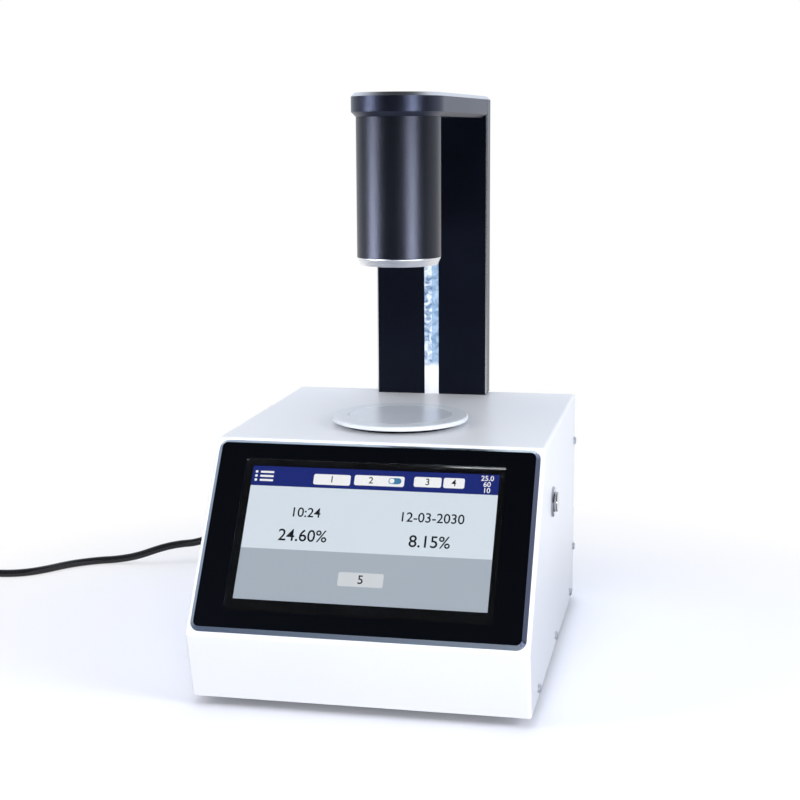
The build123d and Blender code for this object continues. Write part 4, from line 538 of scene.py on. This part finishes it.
coil = arc_points(COIL_R + TURN_PITCH / 2, -COIL_R, 1, LOW_Z, LOW_Z, first=math.pi / 2)
x_now, z_now = -COIL_R, LOW_Z
for number, (inward, z_next) in enumerate(HALF_TURNS):
    end_side = 1 if number % 2 == 0 else -1  # right of the middle, then left of it
    x_next = end_side * (COIL_R - inward * TURN_PITCH / 2)
    coil += arc_points(x_now, x_next, -end_side, z_now, z_next)
    x_now, z_now = x_next, z_next
coil += [(COIL_X + x_now, COIL_Y - straight, PLUG_Z) for straight in TO_PLUG]
print("coil's control points:", len(coil))

# %% One spline, round and glossy
curve = bpy.data.curves.new("mains_cord", "CURVE")
curve.dimensions = "3D"
route = curve.splines.new("NURBS")
route.points.add(len(LEAD) + len(coil) - 1)
for point, where in zip(route.points, LEAD + coil):
    point.co = (*where, 1)
route.order_u = 3
route.use_endpoint_u = True
curve.resolution_u = 8
CORD_RADIUS = 0.003
curve.bevel_depth = CORD_RADIUS
curve.bevel_resolution = 6
curve.use_fill_caps = True
curve.materials.append(cord_vinyl)
mains_cord = bpy.data.objects.new("mains_cord", curve)
bpy.context.scene.collection.objects.link(mains_cord)
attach(mains_cord, "instrument")
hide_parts("cord_lead", "cord_coil")
print("lead made of", len(route.points), "points")

# %% [markdown]
# ## The touch screen
# Behind the cover glass lies a black display module, and the picture glows from its face. The
# picture is a set of thin coloured plates in layers a few hundredths of a millimetre apart: a title
# bar, the reading area and the lower area, then buttons, then figures. Everything is placed by two
# distances on the slope: x to the right, v up the slope.

# %% Places on the slope
SLOPE_ORIGIN = Vector((0, -0.1356, 0.048))
SLOPE_UP = Vector((0, SLOPE_RUN, SLOPE_RISE)).normalized()


def on_slope(x, v, n):
    """The point x right, v up the slope and n out of it, all given in millimetres."""
    return SLOPE_ORIGIN + Vector((x / 1000, 0, 0)) + SLOPE_UP * (v / 1000) + SLOPE_OUT * (n / 1000)


def finish_piece(obj, body, slot, *stands_for):
    """Links a piece, rides it on its body and hides the solids it stands for; slot is not used."""
    if obj.name not in bpy.context.scene.collection.objects:
        bpy.context.scene.collection.objects.link(obj)
    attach(obj, body)
    if stands_for:
        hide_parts(*stands_for)


def plate(name, x0, x1, v0, v1, top, thick, corner, material):
    """A thin plate with round corners on the slope, as a new object. All places are in millimetres."""
    bm = bmesh.new()
    ring = []
    for cx, cv, start in ((x1, v1, 0), (x0, v1, 90), (x0, v0, 180), (x1, v0, 270)):
        cx += -corner if cx == x1 else corner
        cv += -corner if cv == v1 else corner
        for step in range(7):
            angle = math.radians(start + 15 * step)
            ring.append((cx + corner * math.cos(angle), cv + corner * math.sin(angle)))
    upper = [bm.verts.new(on_slope(x, v, top)) for x, v in ring]
    lower = [bm.verts.new(on_slope(x, v, top - thick)) for x, v in ring]
    bm.faces.new(upper)
    bm.faces.new(lower[::-1])
    for i in range(len(ring)):
        j = (i + 1) % len(ring)
        bm.faces.new((upper[j], upper[i], lower[i], lower[j]))
    mesh = bpy.data.meshes.new(name)
    bm.to_mesh(mesh)
    bm.free()
    mesh.materials.append(material)
    return bpy.data.objects.new(name, mesh)


print("slope leans", round(math.degrees(math.atan2(SLOPE_UP.z, SLOPE_UP.y)), 1), "degrees")


# %% Glowing colours
def glow(name, colour, strength=1.0):
    """A picture colour: it glows by itself, with the faint grid of the display's dots."""
    material, tree, shader = start_material(name, tuple(0.02 * c for c in colour), 0.6, Specular_IOR_Level=0.0)
    dots = use_group(tree, grain, Scale=4000.0, Patch_Scale=8.0)
    near = tuple(0.96 * c for c in colour)
    tone = blend_colours(tree, dots.outputs["Tone"], near, colour)
    tree.links.new(tone, shader.inputs["Emission Color"])
    shader.inputs["Emission Strength"].default_value = strength
    return material


def linear(*parts):
    """A colour written as it looks, 0 to 255, as the linear light that nodes use."""
    return tuple((c / 255 / 12.92) if c <= 10 else ((c / 255 + 0.055) / 1.055) ** 2.4 for c in parts)


bar_blue = glow("picture_blue", linear(32, 45, 120))
field_pale = glow("picture_pale", linear(222, 232, 240))
field_grey = glow("picture_grey", linear(174, 184, 194))
button_white = glow("picture_white", linear(250, 250, 250))
button_grey = glow("picture_button", linear(215, 219, 222))
ink_dark = glow("picture_ink", linear(28, 30, 36))
toggle_blue = glow("picture_toggle", linear(70, 130, 170))
screen_black, tree, shader = start_material(
    "screen_surround_black", (0.002, 0.002, 0.003), 0.3, Specular_IOR_Level=0.1)
printed = use_group(tree, grain, Scale=900.0, Patch_Scale=12.0)
tree.links.new(blend_values(tree, printed.outputs["Tone"], 0.26, 0.36), shader.inputs["Roughness"])
ink_tone = blend_colours(tree, printed.outputs["Tone"], (0.0015, 0.0016, 0.002), (0.003, 0.003, 0.004))
tree.links.new(ink_tone, shader.inputs["Base Color"])
print("picture colours: 8")

# %% Display module and picture areas
bpy.context.view_layer.update()
PICTURE_SIDE = 77.1
LOWER_END, READING_END, TITLE_LOW, TITLE_HIGH = 23.8, 56.1, 96.7, 109.7
LIST_HEIGHT, LIST_STEP = 105.1, 2.7
FIELD_TOP, BUTTON_TOP, TRACK_TOP, KNOB_TOP, INK_TOP = -0.48, -0.36, -0.26, -0.18, -0.3
module = plate("display_module", -82.6, 82.6, 14.6, 114.9, -0.6, 5.1, 1.0, screen_black)
finish_piece(module, "instrument", "lcd_face", "lcd_panel")
AREAS = [
    ("title_bar", -PICTURE_SIDE, PICTURE_SIDE, TITLE_LOW, TITLE_HIGH, FIELD_TOP, 0.1, 0.05, bar_blue),
    ("reading_area", -PICTURE_SIDE, PICTURE_SIDE, READING_END, TITLE_LOW, FIELD_TOP, 0.1, 0.05, field_pale),
    ("lower_area", -PICTURE_SIDE, PICTURE_SIDE, LOWER_END, READING_END, FIELD_TOP, 0.1, 0.05, field_grey),
    ("title_button_1", -37.6, -14.4, 98.8, 105.7, BUTTON_TOP, 0.06, 1.2, button_white),
    ("title_button_2", -11.9, 19.2, 99.4, 106.1, BUTTON_TOP, 0.06, 1.2, button_white),
    ("title_button_3", 25.2, 42.1, 99.9, 106.4, BUTTON_TOP, 0.06, 1.2, button_white),
    ("title_button_4", 43.4, 56.3, 99.9, 106.5, BUTTON_TOP, 0.06, 1.2, button_white),
    ("toggle_track", 9.4, 17.4, 101.0, 105.0, TRACK_TOP, 0.05, 1.95, toggle_blue),
    ("toggle_knob", 9.9, 13.1, 101.4, 104.6, KNOB_TOP, 0.05, 1.55, button_white),
    ("start_button", -14.2, 13.5, 35.0, 43.7, BUTTON_TOP, 0.06, 1.2, button_grey),
]
for bar in range(3):
    height = LIST_HEIGHT - LIST_STEP * bar
    AREAS += [
        (f"list_bar_{bar + 1}", -71.9, -63.3, height, height + 1.3, BUTTON_TOP, 0.06, 0.3, button_white),
        (f"list_dot_{bar + 1}", -75.2, -73.6, height - 0.1, height + 1.5, BUTTON_TOP, 0.06, 0.6, button_white),
    ]
for name, *shape in AREAS:
    finish_piece(plate(name, *shape), "instrument", "lcd_face")
print("picture plates:", len(AREAS))


# %% [markdown]
# ## The figures
# Print on a screen has a crisp edge, so the figures are text turned into a mesh. They are lifted
# off the plates by a few hundredths of a millimetre, which keeps two surfaces from sharing a place.

# %% Figures on the picture
INK_THICKNESS, BOLDER = 0.00003, 0.008  # metres, and a share of the figures' height


def figures(name, text, x_mid, v_mid, height, ink):
    """Flat figures centred on a place of the slope, turned into a mesh that travels with the model."""
    words = bpy.data.curves.new(name, "FONT")
    words.body = text
    words.size = height / 1000
    words.align_x, words.align_y = "CENTER", "CENTER"
    words.extrude = INK_THICKNESS
    words.offset = height / 1000 * BOLDER
    flat_words = bpy.data.objects.new(name + "_outline", words)
    bpy.context.scene.collection.objects.link(flat_words)
    bpy.context.view_layer.update()
    settled_words = flat_words.evaluated_get(bpy.context.evaluated_depsgraph_get())
    mesh = bpy.data.meshes.new_from_object(settled_words)
    bpy.data.objects.remove(flat_words)
    turn = Matrix((Vector((1, 0, 0)), SLOPE_UP, SLOPE_OUT)).transposed().to_4x4()
    mesh.transform(Matrix.Translation(on_slope(x_mid, v_mid, INK_TOP)) @ turn)
    mesh.materials.clear()
    mesh.materials.append(ink)
    return bpy.data.objects.new(name, mesh)


FIGURES = [
    ("reading_figures_1", "24.60%", -39.6, 64.9, 10.6, ink_dark),
    ("reading_figures_2", "8.15%", 38.6, 64.7, 10.6, ink_dark),
    ("clock_figures", "10:24", -39.6, 79.9, 8.6, ink_dark),
    ("date_figures", "12-03-2030", 38.6, 79.9, 8.6, ink_dark),
    ("title_figure_1", "1", -26.0, 102.3, 6.0, ink_dark),
    ("title_figure_2", "2", -1.5, 102.7, 6.0, ink_dark),
    ("title_figure_3", "3", 33.6, 103.1, 6.0, ink_dark),
    ("title_figure_4", "4", 49.8, 103.2, 6.0, ink_dark),
    ("button_figure", "5", -0.4, 39.2, 7.6, ink_dark),
    ("side_figures_1", "25.0", 70.0, 107.0, 4.6, button_white),
    ("side_figures_2", "60", 70.0, 103.1, 4.6, button_white),
    ("side_figures_3", "10", 70.0, 99.2, 4.6, button_white),
]
for name, text, x_mid, v_mid, height, ink in FIGURES:
    finish_piece(figures(name, text, x_mid, v_mid, height, ink), "instrument", "lcd_face")
print("figures:", len(FIGURES))

# %% [markdown]
# ## Floor, backdrop and light
# The studio is a pale sweep. Broad soft lamps light it: a key from the left, a fill from the right,
# a wash from the front and one above. Black metal shows only what it mirrors, so two narrow boxes
# make the pale bands on the barrel, and the air in front of the instrument is dark. The floor stays
# white in the picture by giving the camera some of its own light, which Light Path can tell, while
# near the object it is plain paper and takes the soft shadow. Other rays see the paper dark grey, a
# painted shade that keeps the floor dark in mirrors and in bounced light.

# %% Floor
bm = bmesh.new()
bmesh.ops.create_grid(bm, x_segments=8, y_segments=8, size=30)
floor_mesh = bpy.data.meshes.new("studio_floor")
bm.to_mesh(floor_mesh)
bm.free()
floor = bpy.data.objects.new("studio_floor", floor_mesh)
bpy.context.scene.collection.objects.link(floor)
floor_paper = bpy.data.materials.new("floor_paper")
floor_paper.use_nodes = True
tree = floor_paper.node_tree
tree.nodes.clear()
rays = add_node(tree, "ShaderNodeLightPath")
place = add_node(tree, "ShaderNodeNewGeometry").outputs["Position"]
spot = add_node(tree, "ShaderNodeSeparateXYZ", {0: place})
behind = add_node(tree, "ShaderNodeMapRange", {0: spot.outputs[1], 1: -0.2, 2: 0.3})
# rays other than the camera's see the paper dark grey: a painted shade for mirrors and bounced light
tone = blend_colours(tree, rays.outputs["Is Camera Ray"], (0.24, 0.25, 0.30), (0.915, 0.92, 0.985))
paper = add_node(tree, "ShaderNodeBsdfDiffuse", {"Color": tone})
white = add_node(tree, "ShaderNodeEmission", {"Color": (1, 1, 1, 1), "Strength": 1.0})
PLAIN_PAPER, ALL_WHITE = 0.17, 0.42  # distances from the instrument's middle
away = add_node(tree, "ShaderNodeVectorMath", {0: place}, operation="LENGTH").outputs["Value"]
far = add_node(tree, "ShaderNodeMapRange", {0: away, 1: PLAIN_PAPER, 2: ALL_WHITE, 3: 0.0, 4: 1.0})
seen_straight = math_node(tree, "MAXIMUM", rays.outputs["Is Camera Ray"], rays.outputs["Is Transmission Ray"])
seen_mirrored = math_node(tree, "MULTIPLY", rays.outputs["Is Glossy Ray"], behind.outputs[0])
seen = math_node(tree, "MAXIMUM", seen_straight, seen_mirrored)
fill = math_node(tree, "MULTIPLY", seen, far.outputs[0])
mixed = add_node(tree, "ShaderNodeMixShader", {0: fill, 1: paper.outputs[0], 2: white.outputs[0]})
add_node(tree, "ShaderNodeOutputMaterial", {0: mixed.outputs[0]})
floor_mesh.materials.append(floor_paper)
print("floor made")

# %% World and lamps
world = bpy.data.worlds.new("studio_air")
bpy.context.scene.world = world
world.use_nodes = True
tree = world.node_tree
tree.nodes.clear()
sky_place = add_node(tree, "ShaderNodeTexCoord").outputs["Generated"]
heading = add_node(tree, "ShaderNodeSeparateXYZ", {0: sky_place})
# the air is dark in front of the instrument, bright behind it and dimmer overhead
backward = add_node(tree, "ShaderNodeMapRange", {0: heading.outputs[1], 1: -0.25, 2: 0.75, 3: 0.05, 4: 1.0},
                    interpolation_type="SMOOTHSTEP")
overhead = add_node(tree, "ShaderNodeMapRange", {0: heading.outputs[2], 1: 0.75, 2: 0.97, 3: 1.0, 4: 0.30},
                    interpolation_type="SMOOTHSTEP")
strength = math_node(tree, "MULTIPLY", backward.outputs[0], overhead.outputs[0])
soft = add_node(tree, "ShaderNodeBackground", {"Color": (0.82, 0.89, 1.0, 1), "Strength": strength})
blank = add_node(tree, "ShaderNodeBackground", {"Color": (1, 1, 1, 1), "Strength": 1.0})
rays = add_node(tree, "ShaderNodeLightPath")
seen = rays.outputs["Is Camera Ray"]
mixed = add_node(tree, "ShaderNodeMixShader", {0: seen, 1: soft.outputs[0], 2: blank.outputs[0]})
add_node(tree, "ShaderNodeOutputWorld", {0: mixed.outputs[0]})


def lamp(name, where, towards, wide, tall, power, colour=(1, 1, 1), lights=True, mirrored=True):
    """A soft box that faces a point. It may light dull surfaces, be mirrored in shiny ones, or both."""
    data = bpy.data.lights.new(name, "AREA")
    data.shape, data.size, data.size_y = "RECTANGLE", wide, tall
    data.energy, data.color = power, colour
    obj = bpy.data.objects.new(name, data)
    obj.location = where
    obj.rotation_euler = (Vector(towards) - Vector(where)).to_track_quat("-Z", "Y").to_euler()
    obj.visible_diffuse, obj.visible_glossy = lights, mirrored
    bpy.context.scene.collection.objects.link(obj)


lamp("key_left", (-1.10, -0.56, 0.55), (0, 0, 0.25), 0.50, 1.1, 9.0, mirrored=False)
lamp("fill_right", (1.25, -0.45, 0.50), (0, 0, 0.15), 0.5, 1.0, 15.0, (0.92, 0.95, 1.0), mirrored=False)
lamp("band_left", (-0.99, -0.52, 0.165), (0, 0, 0.25), 0.46, 0.26, 7.6, (0.88, 0.92, 1.0), lights=False)
lamp("band_right", (0.78, -0.72, 0.165), (0, 0, 0.25), 0.38, 0.26, 6.4, (0.88, 0.92, 1.0), lights=False)
lamp("front_wash", (0.25, -1.7, 0.42), (0, 0, 0.1), 1.0, 0.7, 26.0, (0.98, 0.99, 1.0), mirrored=False)
lamp("top_soft", (-0.1, 0.30, 1.5), (0, 0, 0), 1.1, 0.8, 7.0, (0.93, 0.96, 1.0), mirrored=False)
bpy.context.scene.view_settings.view_transform = "Standard"
print("lamps: 6")
